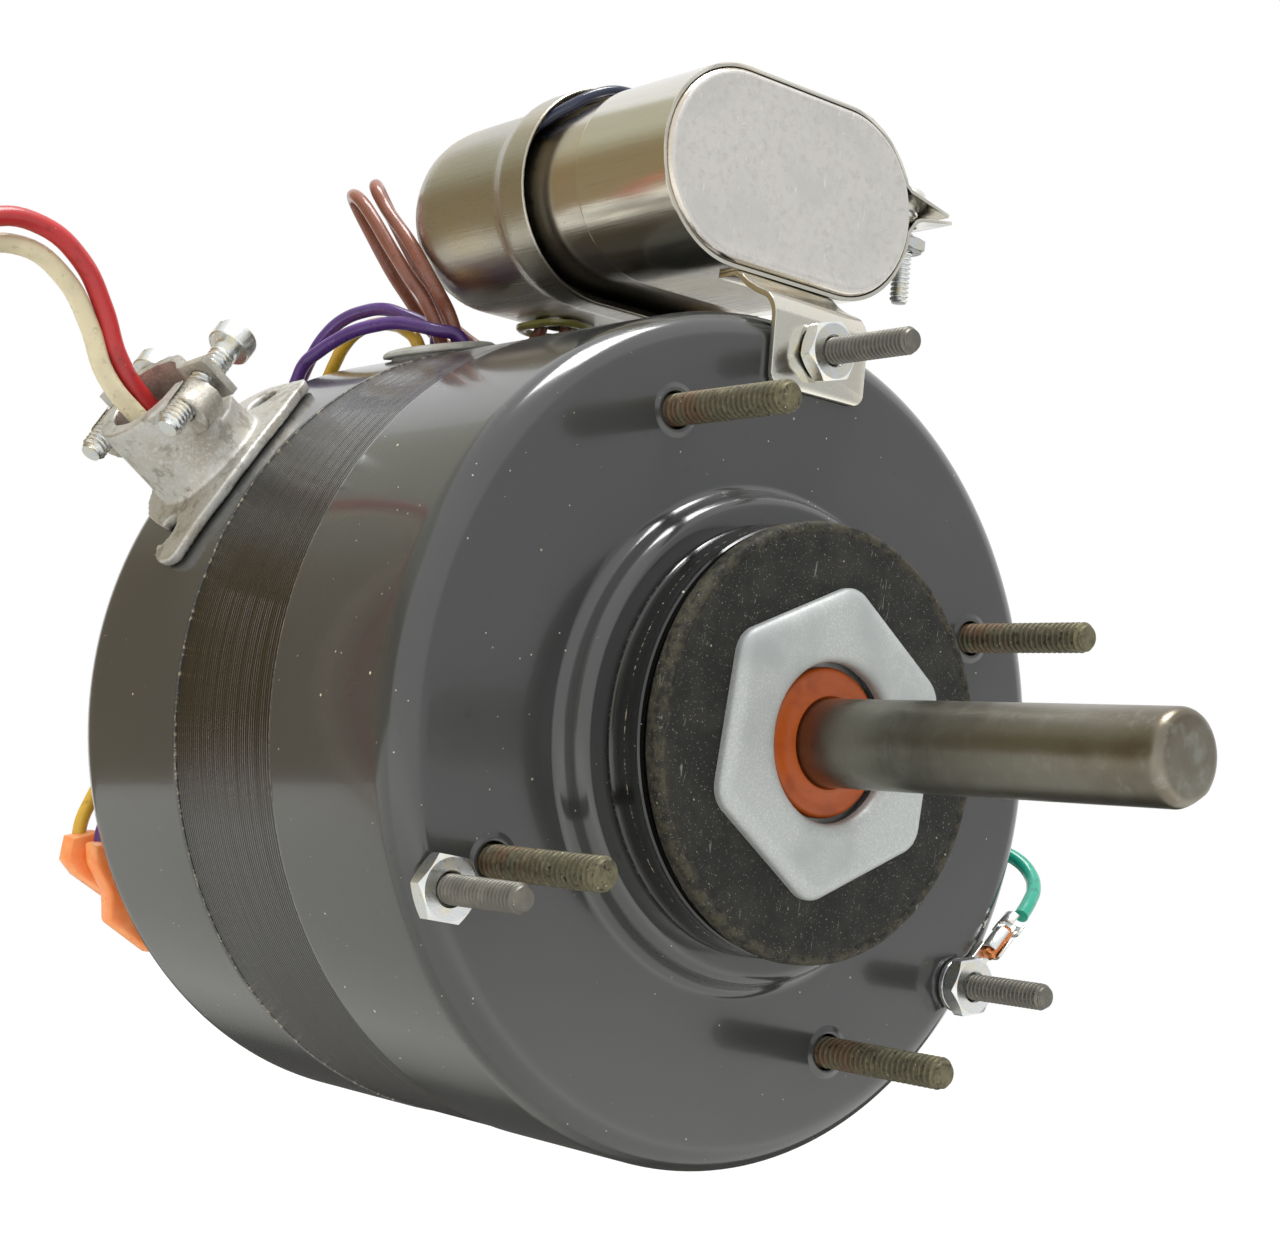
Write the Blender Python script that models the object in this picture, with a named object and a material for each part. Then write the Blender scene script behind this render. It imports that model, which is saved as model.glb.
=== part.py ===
"""Combustion fan motor: round steel shell, oval capacitor on top, cable clamp and leads at the back.

Frame: the shaft lies along Y and points to -Y. The flat front face of the shell is at y = 0, X is to the
right seen from the front, Z is up, and the origin is on the shaft axis.
"""

import math

import bmesh
import bpy
from mathutils import Matrix, Vector

MM = 0.001
GAP = 0.3  # clearance left between touching pieces, mm

# Shell, mm
BODY_R = 63.5
SHELL_T = 1.6
FRONT_CORNER_R = 4.5
REAR_CORNER_R = 6.0
STACK_START = 31.6
STACK_END = 58.1
BODY_END = 90.8
NOSE_R = 21.0
NOSE_FRONT = -15.2
REAR_HUB_R = 20.5
REAR_HUB_END = 98.5

# Shaft and hub ring, mm
SHAFT_R = 6.35
SHAFT_TIP = -77.75
SHAFT_FLAT_DEPTH = 0.9
SHAFT_FLAT_LENGTH = 12.0
SHAFT_FLAT_ANGLE = math.radians(-55.0)
RING_R = 31.75
RING_FRONT = -15.3
PLATE_FRONT = -17.45
PLATE_CORNER_R = 23.2
PLATE_HOLE_R = 11.5

# Fasteners, mm
BOLT_CIRCLE_R = 50.0
BOLT_ANGLES = (30.0, 120.0, 210.0, 300.0)
BOLT_R = 2.4
BOLT_TIP = -24.0
STUD_CIRCLE_R = 59.45
STUD_ANGLES = (90.0, 210.0, 330.0)
STUD_R = 2.08
STUD_TIP = -18.7
NUT_FLATS = 8.73
NUT_T = 2.7
NUT_SEATS = ((20.0, -1.6), (0.0, -GAP), (14.0, -1.5))  # turn in degrees, y of the back face

# Capacitor, mm, in a frame turned about the top stud
CAP_TURN = 5.5
CAP_U = -0.65
CAP_V = 27.3
CAP_LENGTH = 52.0
CAP_HEIGHT = 29.9
CAP_FRONT = 6.7
CAP_BACK = 58.0
STRAP_T = 0.6
STRAP_FRONT = 7.2
STRAP_BACK = 28.0
BOOT_FRONT = 39.0
BOOT_BACK = 77.0

# Cable clamp, mm: n runs out from the shaft axis, t round the shell, both at the clamp's own angle
CLAMP_ANGLE = 150.3
CLAMP_Y = 75.3
CLAMP_TOP = 79.5
CLAMP_SCREW_N = 77.3
CLAMP_SCREW_DY = 10.4
CLAMP_TWIST = 9.5

SEG = 40

_n = Vector((math.cos(math.radians(CLAMP_ANGLE)), 0.0, math.sin(math.radians(CLAMP_ANGLE))))
_t = Vector((_n.z, 0.0, -_n.x))


def material(name, colour, roughness, metallic):
    mat = bpy.data.materials.new(name)
    mat.use_nodes = True
    shader = mat.node_tree.nodes["Principled BSDF"]
    shader.inputs["Base Color"].default_value = (*colour, 1.0)
    shader.inputs["Roughness"].default_value = roughness
    shader.inputs["Metallic"].default_value = metallic
    mat.diffuse_color = (*colour, 1.0)
    return mat


def add(name, verts, faces, look=None, smooth=True):
    """Make one object from points in millimetres; look is (colour, roughness, metallic)."""
    mesh = bpy.data.meshes.new(name)
    bm = bmesh.new()
    made = [bm.verts.new([c * MM for c in v]) for v in verts]
    for face in faces:
        bm.faces.new([made[i] for i in face])
    bmesh.ops.recalc_face_normals(bm, faces=bm.faces)
    bm.to_mesh(mesh)
    bm.free()
    obj = bpy.data.objects.new(name, mesh)
    bpy.context.scene.collection.objects.link(obj)
    if smooth:
        mesh.shade_smooth()
        mesh.set_sharp_from_angle(angle=math.radians(35))
    if look is None:
        obj.hide_render = True
        obj.display_type = "WIRE"
    else:
        mesh.materials.append(material("mat_" + name, *look))
    return obj


def boolean(obj, others, operation):
    for other in others:
        mod = obj.modifiers.new(operation.lower() + "_" + other.name, "BOOLEAN")
        mod.operation = operation
        mod.object = other
        mod.solver = "EXACT"
    return obj


def arc(cx, cy, r, a0, a1, steps):
    """Points of an arc, angles in degrees, both ends included."""
    angles = [math.radians(a0 + (a1 - a0) * k / steps) for k in range(steps + 1)]
    return [(cx + r * math.cos(a), cy + r * math.sin(a)) for a in angles]


def ring(name, profile, look, segments=SEG, centre=(0.0, 0.0)):
    """Turn a closed (r, y) outline about an axis along Y through centre (x, z)."""
    verts = []
    for k in range(segments):
        c, s = math.cos(2 * math.pi * k / segments), math.sin(2 * math.pi * k / segments)
        verts += [(centre[0] + r * c, y, centre[1] + r * s) for r, y in profile]
    n = len(profile)
    faces = []
    for k in range(segments):
        a, b = k * n, (k + 1) % segments * n
        faces += [(a + i, a + (i + 1) % n, b + (i + 1) % n, b + i) for i in range(n)]
    return add(name, verts, faces, look)


def solid(name, profile, look, segments=SEG, centre=(0.0, 0.0)):
    """Turn an (r, y) line that starts and ends on the axis about an axis along Y."""
    inner = profile[1:-1]
    verts = [(centre[0], profile[0][1], centre[1]), (centre[0], profile[-1][1], centre[1])]
    for k in range(segments):
        c, s = math.cos(2 * math.pi * k / segments), math.sin(2 * math.pi * k / segments)
        verts += [(centre[0] + r * c, y, centre[1] + r * s) for r, y in inner]
    n = len(inner)
    faces = []
    for k in range(segments):
        a, b = 2 + k * n, 2 + (k + 1) % segments * n
        faces += [(a + i, a + i + 1, b + i + 1, b + i) for i in range(n - 1)]
        faces += [(0, a, b), (1, b + n - 1, a + n - 1)]
    return add(name, verts, faces, look)


def prism(name, outline, place, low, high, look=None, smooth=False):
    """Push a flat outline from low to high; place(a, b, h) gives the point in space."""
    n = len(outline)
    verts = [place(a, b, low) for a, b in outline] + [place(a, b, high) for a, b in outline]
    faces = [tuple(range(n)), tuple(range(n, 2 * n))]
    faces += [(i, (i + 1) % n, n + (i + 1) % n, n + i) for i in range(n)]
    return add(name, verts, faces, look, smooth)


def holed_prism(name, outer, inner, place, low, high, look=None):
    """Push a flat outline with one hole from low to high; both lines have the same number of points."""
    n = len(outer)
    verts = []
    for line, h in ((outer, low), (inner, low), (outer, high), (inner, high)):
        verts += [place(a, b, h) for a, b in line]
    faces = []
    for i in range(n):
        j = (i + 1) % n
        faces += [(i, j, n + j, n + i), (2 * n + i, 2 * n + j, 3 * n + j, 3 * n + i)]
        faces += [(i, j, 2 * n + j, 2 * n + i), (n + i, n + j, 3 * n + j, 3 * n + i)]
    return add(name, verts, faces, look)


def loft(name, sections, look=None):
    """Join closed sections of equal size and cap both ends."""
    n = len(sections[0])
    verts = [p for section in sections for p in section]
    faces = [tuple(range(n)), tuple(range((len(sections) - 1) * n, len(sections) * n))]
    for k in range(len(sections) - 1):
        a = k * n
        faces += [(a + i, a + (i + 1) % n, a + n + (i + 1) % n, a + n + i) for i in range(n)]
    return add(name, verts, faces, look)


def hollow_loft(name, outside, inside, look):
    """A cup: outside sections from the mouth to the closed end, then inside sections back to the mouth."""
    sections = outside + inside[::-1]
    n = len(sections[0])
    half = len(sections) // 2
    verts = [p for section in sections for p in section]
    faces = []
    for k in range(len(sections)):
        a, b = k * n, (k + 1) % len(sections) * n
        if k == half - 1:
            faces += [tuple(range(a, a + n)), tuple(range(b, b + n))]
            continue
        faces += [(a + i, a + (i + 1) % n, b + (i + 1) % n, b + i) for i in range(n)]
    return add(name, verts, faces, look)


def along_y(a, b, h):
    return (a, h, b)


def in_clamp(n, t, y):
    """A point of the cable clamp, whose tube is turned about its own axis on the flange."""
    c, s = math.cos(math.radians(CLAMP_TWIST)), math.sin(math.radians(CLAMP_TWIST))
    return on_flange(n, t * c - y * s, t * s + y * c)


def on_flange(n, t, y):
    """A point of the clamp's flange, n out from the shaft axis and t round the shell."""
    p = _n * n + _t * t
    return (p.x, CLAMP_Y + y, p.z)


def out_of_clamp(t, y, n):
    """The clamp frame for shapes that are pushed outwards."""
    return in_clamp(n, t, y)


def out_of_flange(t, y, n):
    """The flange's frame for shapes that are pushed outwards."""
    return on_flange(n, t, y)


def across_clamp(n, y, t):
    """The clamp frame for shapes that are pushed round the shell."""
    return in_clamp(n, t, y)


def in_cap(u, v, y):
    """A point of the capacitor frame, which is turned about the top stud."""
    a = math.radians(CAP_TURN)
    x = u * math.cos(a) - v * math.sin(a)
    z = u * math.sin(a) + v * math.cos(a) + STUD_CIRCLE_R
    return (x, y, z)


def up_cap(u, y, v):
    """The capacitor frame for shapes that are pushed upwards."""
    return in_cap(u, v, y)


def oval(grow, steps=10):
    """The capacitor's oval in its own frame, grown or shrunk by a margin."""
    r = CAP_HEIGHT / 2 + grow
    half = (CAP_LENGTH - CAP_HEIGHT) / 2
    right = arc(CAP_U + half, CAP_V, r, -90, 90, steps)
    left = arc(CAP_U - half, CAP_V, r, 90, 270, steps)
    return right + left


def oval_sections(stations):
    """Loft sections from (margin, y) pairs along the capacitor."""
    return [[in_cap(u, v, y) for u, v in oval(margin)] for margin, y in stations]


def smooth_line(points, step):
    """Points every step millimetres along a smooth curve through the route's own points."""
    pts = [Vector(p) for p in points]
    ends = [pts[0] * 2 - pts[1], *pts, pts[-1] * 2 - pts[-2]]
    dense = []
    for k in range(1, len(ends) - 2):
        p0, p1, p2, p3 = ends[k - 1 : k + 3]
        for j in range(20):
            s = j / 20
            a = p1 * 2 + (p2 - p0) * s
            b = (p0 * 2 - p1 * 5 + p2 * 4 - p3) * s * s + (p1 * 3 - p0 - p2 * 3 + p3) * s**3
            dense.append((a + b) / 2)
    dense.append(pts[-1])
    total = sum((b - a).length for a, b in zip(dense, dense[1:]))
    count = max(4, round(total / step))
    line, done, target = [dense[0]], 0.0, total / count
    for a, b in zip(dense, dense[1:]):
        d = (b - a).length
        while done + d >= target * len(line) and len(line) < count:
            line.append(a.lerp(b, (target * len(line) - done) / d))
        done += d
    line.append(dense[-1])
    return line


def wire(name, points, radius, look, step=6.0, resolution=2):
    """A round wire along a route given in millimetres."""
    line = smooth_line(points, step)
    curve = bpy.data.curves.new(name, "CURVE")
    curve.dimensions = "3D"
    curve.resolution_u = 1
    curve.render_resolution_u = 0
    curve.bevel_depth = radius * MM
    curve.bevel_resolution = resolution
    curve.use_fill_caps = True
    spline = curve.splines.new("POLY")
    spline.points.add(len(line) - 1)
    for point, place in zip(spline.points, line):
        point.co = (*(place * MM), 1.0)
    curve.materials.append(material("mat_" + name, *look))
    obj = bpy.data.objects.new(name, curve)
    bpy.context.scene.collection.objects.link(obj)
    return obj


def polar(r, degrees):
    return (r * math.cos(math.radians(degrees)), r * math.sin(math.radians(degrees)))


def circle(r, centre, steps=16, turn=0.0):
    points = [polar(r, turn + 360 * k / steps) for k in range(steps)]
    return [(centre[0] + x, centre[1] + z) for x, z in points]


def hexagon(flats, centre, turn=0.0):
    return circle(flats / 2 / math.cos(math.radians(30)), centre, 6, turn)


def nut(name, flats, centre, turn, bore_r, place, low, high):
    """A hexagon nut with a plain bore."""
    corners = hexagon(flats, centre, turn)
    outer = []
    for a, b in zip(corners, corners[1:] + corners[:1]):
        outer += [a, ((a[0] + b[0]) / 2, (a[1] + b[1]) / 2)]
    return holed_prism(name, outer, circle(bore_r, centre, 12, turn), place, low, high, BRIGHT_ZINC)


# Looks: colour, roughness, metallic
ENAMEL = ((0.075, 0.08, 0.085), 0.3, 0.2)
LAMINATION = ((0.07, 0.065, 0.055), 0.45, 0.6)
COPPER = ((0.55, 0.22, 0.1), 0.4, 0.9)
STEEL = ((0.42, 0.4, 0.37), 0.3, 1.0)
RUBBER = ((0.03, 0.03, 0.028), 0.8, 0.0)
ZINC = ((0.62, 0.63, 0.63), 0.4, 0.9)
BRIGHT_ZINC = ((0.7, 0.73, 0.75), 0.25, 1.0)
BRONZE = ((0.45, 0.3, 0.15), 0.5, 0.8)
ALUMINIUM = ((0.6, 0.6, 0.6), 0.45, 0.9)
RUSTY = ((0.2, 0.16, 0.1), 0.6, 0.7)
PHOSPHATE = ((0.2, 0.2, 0.19), 0.5, 0.7)
TINNED = ((0.6, 0.58, 0.54), 0.2, 1.0)
ORANGE = ((0.75, 0.22, 0.05), 0.4, 0.0)
LINER = ((0.45, 0.4, 0.12), 0.35, 0.0)
STRAP_STEEL = ((0.55, 0.55, 0.52), 0.3, 1.0)


def cylinder(name, centre, r, low, high, steps=16):
    """A cutter along Y."""
    return prism(name, circle(r, centre, steps), along_y, low, high)


def front_bell():
    corner = BODY_R - FRONT_CORNER_R
    inner = BODY_R - SHELL_T
    outside = [(BODY_R, STACK_START - GAP / 2)]
    outside += arc(corner, FRONT_CORNER_R, FRONT_CORNER_R, 0, -90, 5)
    outside += arc(38.0, -1.8, 1.8, 90, 165, 3)
    outside += arc(33.9, -2.0, 2.2, -10, -90, 4)
    outside += [(NOSE_R, -4.2), (NOSE_R, NOSE_FRONT + 0.8), (NOSE_R - 0.8, NOSE_FRONT)]
    outside += [(12.2, NOSE_FRONT)]
    inside = [(12.2, NOSE_FRONT + SHELL_T), (NOSE_R - SHELL_T, NOSE_FRONT + SHELL_T)]
    inside += [(NOSE_R - SHELL_T, -2.6), (33.4, -2.6), (36.8, SHELL_T)]
    inside += arc(corner, FRONT_CORNER_R, FRONT_CORNER_R - SHELL_T, -90, 0, 4)
    inside += [(inner, STACK_START - GAP / 2)]
    bell = ring("front_bell", outside + inside, ENAMEL)
    holes = [("bolt", BOLT_CIRCLE_R, a, BOLT_R + 0.35) for a in BOLT_ANGLES]
    holes += [("stud", STUD_CIRCLE_R, a, STUD_R + 0.3) for a in STUD_ANGLES]
    for kind, r, angle, size in holes:
        cutter = cylinder(f"front_{kind}_hole_{angle:.0f}", polar(r, angle), size, -3, 4)
        boolean(bell, [cutter], "DIFFERENCE")
    return bell


def rear_bell():
    corner = BODY_END - REAR_CORNER_R
    inner = BODY_R - SHELL_T
    outside = [(0.0, REAR_HUB_END), (REAR_HUB_R - 1.5, REAR_HUB_END), (REAR_HUB_R, REAR_HUB_END - 1.5)]
    outside += [(REAR_HUB_R, BODY_END + 2.0), (REAR_HUB_R + 2.0, BODY_END)]
    outside += arc(BODY_R - REAR_CORNER_R, corner, REAR_CORNER_R, 90, 0, 5)
    outside += [(BODY_R, STACK_END + GAP / 2)]
    inside = [(inner, STACK_END + GAP / 2)]
    inside += arc(BODY_R - REAR_CORNER_R, corner, REAR_CORNER_R - SHELL_T, 0, 90, 4)
    inside += [(REAR_HUB_R + 1.2, BODY_END - SHELL_T), (REAR_HUB_R - SHELL_T, BODY_END + 0.8)]
    inside += [(REAR_HUB_R - SHELL_T, REAR_HUB_END - SHELL_T), (0.0, REAR_HUB_END - SHELL_T)]
    bell = solid("rear_bell", outside + inside, ENAMEL)
    for angle in BOLT_ANGLES:
        centre = polar(BOLT_CIRCLE_R, angle)
        cutter = cylinder(f"rear_bolt_hole_{angle:.0f}", centre, BOLT_R + 0.35, 86, 94)
        boolean(bell, [cutter], "DIFFERENCE")
    clamp_hole = prism("clamp_hole", circle(8.6, (0, 0), 24), out_of_clamp, 55, 70)
    grommet_hole = prism("grommet_hole", circle(8.4, (0, 0), 24), at_grommet, 55, 70)
    green_hole = prism("green_hole", circle(3.6, (0, 0), 16), at_green, 55, 70)
    return boolean(bell, [clamp_hole, grommet_hole, green_hole], "DIFFERENCE")


def radial_place(angle, y0):
    out = Vector((*polar(1, angle), 0)).xzy
    side = Vector((out.z, 0, -out.x))

    def place(a, b, h):
        p = out * h + side * a
        return (p.x, y0 + b, p.z)

    return place


at_grommet = radial_place(110.0, 68.0)
at_green = radial_place(-4.0, 66.0)


def grommet(name, place, hole_r, bore_r, look):
    """A rubber grommet with a groove that the shell's edge sits in."""
    steps = 24
    low, high = BODY_R - SHELL_T, BODY_R
    lip = hole_r + 1.2
    groove = hole_r - GAP
    dip = lip * lip / 2 / BODY_R
    profile = [(bore_r, low - 1.9 - dip), (lip - 0.5, low - 1.9 - dip), (lip, low - 1.4 - dip)]
    profile += [(lip, low - GAP - dip), (groove, low - GAP - dip), (groove, high + GAP)]
    profile += [(lip, high + GAP), (lip, high + 1.2), (lip - 0.7, high + 1.9), (bore_r, high + 1.9)]
    verts, faces, n = [], [], len(profile)
    for k in range(steps):
        a, b = polar(1, 360 * k / steps)
        verts += [place(a * r, b * r, h) for r, h in profile]
    for k in range(steps):
        p, q = k * n, (k + 1) % steps * n
        faces += [(p + i, p + (i + 1) % n, q + (i + 1) % n, q + i) for i in range(n)]
    return add(name, verts, faces, look)


def stator_core():
    """Lamination stack with 24 winding slots open to the bore."""
    slots, bore, deep = 24, 37.6, 45.5
    inner, outer = [], []
    for k in range(slots):
        mid = 360 * k / slots
        inner += [polar(bore, mid - 7.5), polar(bore, mid - 1.6), polar(bore + 1.4, mid - 1.7)]
        inner += [polar(bore + 2.2, mid - 4.2), polar(deep, mid - 4.0), polar(deep, mid + 4.0)]
        inner += [polar(bore + 2.2, mid + 4.2), polar(bore + 1.4, mid + 1.7), polar(bore, mid + 1.6)]
        outer += [polar(BODY_R - 0.2, mid + step) for step in (-7.5, -2.5, 2.5)]
    ni, no = len(inner), len(outer)
    low, high = STACK_START + GAP / 2, STACK_END - GAP / 2
    verts = [(x, y, z) for y in (low, high) for x, z in inner + outer]
    faces = []
    for top in (0, ni + no):
        for k in range(slots):
            inside = [top + (9 * k + i) % ni for i in range(10)]
            outside = [top + ni + (3 * k + i) % no for i in range(4)]
            faces.append(tuple(inside + outside[::-1]))
    n = ni + no
    faces += [(i, (i + 1) % ni, n + (i + 1) % ni, n + i) for i in range(ni)]
    faces += [(ni + i, ni + (i + 1) % no, n + ni + (i + 1) % no, n + ni + i) for i in range(no)]
    core = add("stator_core", verts, faces, LAMINATION)
    for angle in BOLT_ANGLES:
        centre = polar(BOLT_CIRCLE_R, angle)
        cutter = cylinder(f"core_bolt_hole_{angle:.0f}", centre, BOLT_R + 0.4, 25, 65)
        boolean(core, [cutter], "DIFFERENCE")
    return core


def windings():
    for name, near, far in (("winding_front", 31.3, 18.5), ("winding_rear", 58.4, 71.0)):
        mid = (near + far) / 2
        reach = abs(far - near) / 2
        sign = 1 if far > near else -1
        profile = [(39.8, near), (45.6, near), (46.2, mid), (44.6, mid + sign * reach * 0.8)]
        profile += [(42.8, far), (40.6, far), (39.4, mid + sign * reach * 0.7), (39.2, mid)]
        ring(name, profile, COPPER, 24)


def rotor():
    """Shaft and everything that turns with it; every piece is centred on the joint axis."""
    profile = [(0, SHAFT_TIP), (5.4, SHAFT_TIP), (SHAFT_R, SHAFT_TIP + 1.0), (SHAFT_R, 92.0)]
    shaft = solid("shaft", profile + [(5.6, 92.8), (0, 92.8)], STEEL, 32)
    flat = SHAFT_R - SHAFT_FLAT_DEPTH
    block = [(flat, -9), (flat + 6, -9), (flat + 6, 9), (flat, 9)]
    end = SHAFT_TIP + SHAFT_FLAT_LENGTH
    boolean(shaft, [prism("shaft_flat", block, at_shaft_flat, SHAFT_TIP - 2, end)], "DIFFERENCE")
    inner = SHAFT_R + GAP
    core = [(inner, STACK_START + 0.3), (37.0, STACK_START + 0.3), (37.0, STACK_END - 0.3)]
    ring("rotor_core", core + [(inner, STACK_END - 0.3)], LAMINATION)
    for name, near, out in (("rotor_fan_front", STACK_START, -1), ("rotor_fan_rear", STACK_END, 1)):
        rotor_fan(name, near, out)
    ring("thrust_collar_front", [(inner, 17.6), (9.4, 17.6), (9.4, 21.6), (inner, 21.6)], STEEL, 24)
    ring("thrust_collar_rear", [(inner, 72.6), (9.4, 72.6), (9.4, 76.6), (inner, 76.6)], STEEL, 24)
    slinger = [(inner, -15.0), (7.6, -15.3), (10.3, -15.0), (10.8, -14.4), (10.8, -13.6), (inner, -13.6)]
    ring("oil_slinger", slinger, ORANGE, 32)


def at_shaft_flat(a, b, h):
    """The frame of the flat near the shaft's tip: a runs out from the axis towards the flat."""
    c, s = math.cos(SHAFT_FLAT_ANGLE), math.sin(SHAFT_FLAT_ANGLE)
    return (a * c - b * s, h, a * s + b * c)


def rotor_fan(name, near, out):
    """Cast end ring of the rotor with twelve short blades."""
    root = near + out * 4.2
    tip = near + out * 12.0
    body = ring(name, [(22.0, near), (36.4, near), (36.4, root), (22.0, root)], ALUMINIUM, 32)
    for k in range(12):
        angle = math.radians(30 * k)
        corners = []
        for r, w in ((25.0, -0.8), (34.5, -0.8), (34.5, 0.8), (25.0, 0.8)):
            x = r * math.cos(angle) - w * math.sin(angle)
            corners.append((x, r * math.sin(angle) + w * math.cos(angle)))
        blade = prism(f"{name}_blade_{k}", corners, along_y, root - out * 0.6, tip)
        boolean(body, [blade], "UNION")


def bearings():
    bore = SHAFT_R + 0.1
    seat_r = NOSE_R - SHELL_T - GAP
    front = [(9.8, -13.2), (seat_r, -13.2), (seat_r, -2.9), (16.0, -2.9), (14.5, 8.0)]
    ring("front_bearing_seat", front + [(14.5, 15.0), (9.8, 15.0)], ZINC, 32)
    ring("front_bearing", [(bore, -12.8), (9.5, -12.8), (9.5, 17.2), (bore, 17.2)], BRONZE, 32)
    low = BODY_END + 0.8
    rear_r = REAR_HUB_R - SHELL_T - GAP
    rear = [(9.8, 79.5), (14.5, 79.5), (16.5, low + 0.6), (rear_r, low + 1.0)]
    ring("rear_bearing_seat", rear + [(rear_r, 96.4), (9.8, 96.4)], ZINC, 32)
    ring("rear_bearing", [(bore, 77.0), (9.5, 77.0), (9.5, 96.2), (bore, 96.2)], BRONZE, 32)


def hub_ring():
    """Steel cup, resilient rubber ring and the hexagonal plate in front of it."""
    cup = [(NOSE_R + GAP, -4.5), (31.6, -4.5), (31.6, -7.4), (31.0, -7.8), (NOSE_R + GAP, -7.8)]
    ring("ring_cup", cup, ENAMEL)
    rubber = [(NOSE_R + GAP, -8.1), (31.5, -8.1), (31.0, -8.9), (31.0, -11.2), (RING_R, -12.0)]
    rubber += [(RING_R, RING_FRONT + 0.6), (RING_R - 0.6, RING_FRONT), (NOSE_R + GAP, RING_FRONT)]
    ring("rubber_ring", rubber, RUBBER)
    corners = []
    for k in range(6):
        x, z = polar(PLATE_CORNER_R - 5.2, 30 + 60 * k)
        corners += arc(x, z, 4.5, 60 * k, 60 + 60 * k, 4)
    inner = circle(PLATE_HOLE_R, (0, 0), len(corners))
    shrink = [(x * 0.965, z * 0.965) for x, z in corners]
    grow = [(x * 1.05, z * 1.05) for x, z in inner]
    back = RING_FRONT - GAP
    layers = [(corners, back), (corners, PLATE_FRONT + 0.6), (shrink, PLATE_FRONT)]
    layers += [(grow, PLATE_FRONT), (inner, PLATE_FRONT + 0.5), (inner, back)]
    n = len(corners)
    shift = n - 2
    verts = []
    for line, y in layers:
        turned = line if line in (corners, shrink) else line[-shift:] + line[:-shift]
        verts += [(x, y, z) for x, z in turned]
    faces = []
    for k in range(len(layers)):
        a, b = k * n, (k + 1) % len(layers) * n
        faces += [(a + i, a + (i + 1) % n, b + (i + 1) % n, b + i) for i in range(n)]
    add("hex_plate", verts, faces, ZINC)


def fasteners():
    for k, angle in enumerate(BOLT_ANGLES, 1):
        centre = polar(BOLT_CIRCLE_R, angle)
        profile = [(0, BOLT_TIP), (BOLT_R - 0.5, BOLT_TIP), (BOLT_R, BOLT_TIP + 0.6)]
        profile += [(BOLT_R, BODY_END + 1), (0, BODY_END + 1)]
        bolt = solid(f"through_bolt_{k}", profile, RUSTY, 16, centre)
        shape = hexagon(8.0, centre, angle)
        head = prism(f"bolt_head_{k}", shape, along_y, BODY_END + GAP, BODY_END + 3.6)
        boolean(bolt, [head], "UNION")
    for k, angle in enumerate(STUD_ANGLES, 1):
        centre = polar(STUD_CIRCLE_R, angle)
        tip = STUD_TIP - (1.6 if k == 1 else 0.0)
        profile = [(0, tip), (STUD_R - 0.4, tip), (STUD_R, tip + 0.5), (STUD_R, 9.0), (0, 9.0)]
        solid(f"mounting_stud_{k}", profile, PHOSPHATE, 16, centre)
        turn, back = NUT_SEATS[k - 1]
        nut(f"stud_nut_{k}", NUT_FLATS, centre, turn, STUD_R + GAP, along_y, back - NUT_T, back)


def capacitor():
    can = [(-2.0, CAP_FRONT), (-0.6, CAP_FRONT + 0.5), (0.0, CAP_FRONT + 1.8)]
    can += [(0.0, CAP_BACK - 1.0), (-1.0, CAP_BACK)]
    loft("capacitor_can", oval_sections(can), TINNED)
    outside = [(2.9, BOOT_FRONT), (2.9, 45.0), (2.3, 46.6), (1.2, 48.5), (1.1, 67.0)]
    outside += [(0.3, 71.5), (-2.0, 75.3), (-6.0, BOOT_BACK)]
    inside = [(2.4, BOOT_FRONT), (2.4, 44.9), (1.8, 46.4), (0.6, 48.2), (0.5, 66.8)]
    inside += [(-0.2, 71.0), (-2.3, 74.7), (-6.0, BOOT_BACK - 0.7)]
    shell = hollow_loft("capacitor_boot", oval_sections(outside), oval_sections(inside), TINNED)
    window = arc(-1.0, 66.5, 4.0, 0, 180, 6) + arc(-1.0, 61.5, 4.0, 180, 360, 6)
    boolean(shell, [prism("boot_window", window, up_cap, 5.0, 18.0)], "DIFFERENCE")
    rim = [(-1.0 + 1.35 * (x + 1.0), 64.0 + 1.2 * (y - 64.0)) for x, y in window]
    bore = [(-1.0 + 0.86 * (x + 1.0), 64.0 + 0.88 * (y - 64.0)) for x, y in window]
    low = CAP_V - CAP_HEIGHT / 2 - 1.1
    holed_prism("boot_liner", rim, bore, up_cap, low - 1.3, low - GAP, LINER)
    for k, u in enumerate((-9.0, 8.0), 1):
        low, high = CAP_V - 0.4, CAP_V + 0.4
        blade = [(u - 3.1, low), (u + 3.1, low), (u + 3.1, high), (u - 3.1, high)]
        prism(f"capacitor_terminal_{k}", blade, in_cap, CAP_BACK + GAP, 67.5, TINNED)


def thick_line(line, thickness):
    """Outline of a sheet that follows a flat line, with the line on its inner side."""
    pts = [Vector(p) for p in line]
    other = []
    for k, p in enumerate(pts):
        before = (p - pts[k - 1]).normalized() if k else (pts[1] - p).normalized()
        after = (pts[k + 1] - p).normalized() if k < len(pts) - 1 else before
        normal = Vector((before.y + after.y, -before.x - after.x)).normalized()
        stretch = 1 / max(0.4, normal.dot(Vector((before.y, -before.x))))
        other.append(p + normal * thickness * stretch)
    return [tuple(p) for p in pts] + [tuple(p) for p in reversed(other)]


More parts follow.
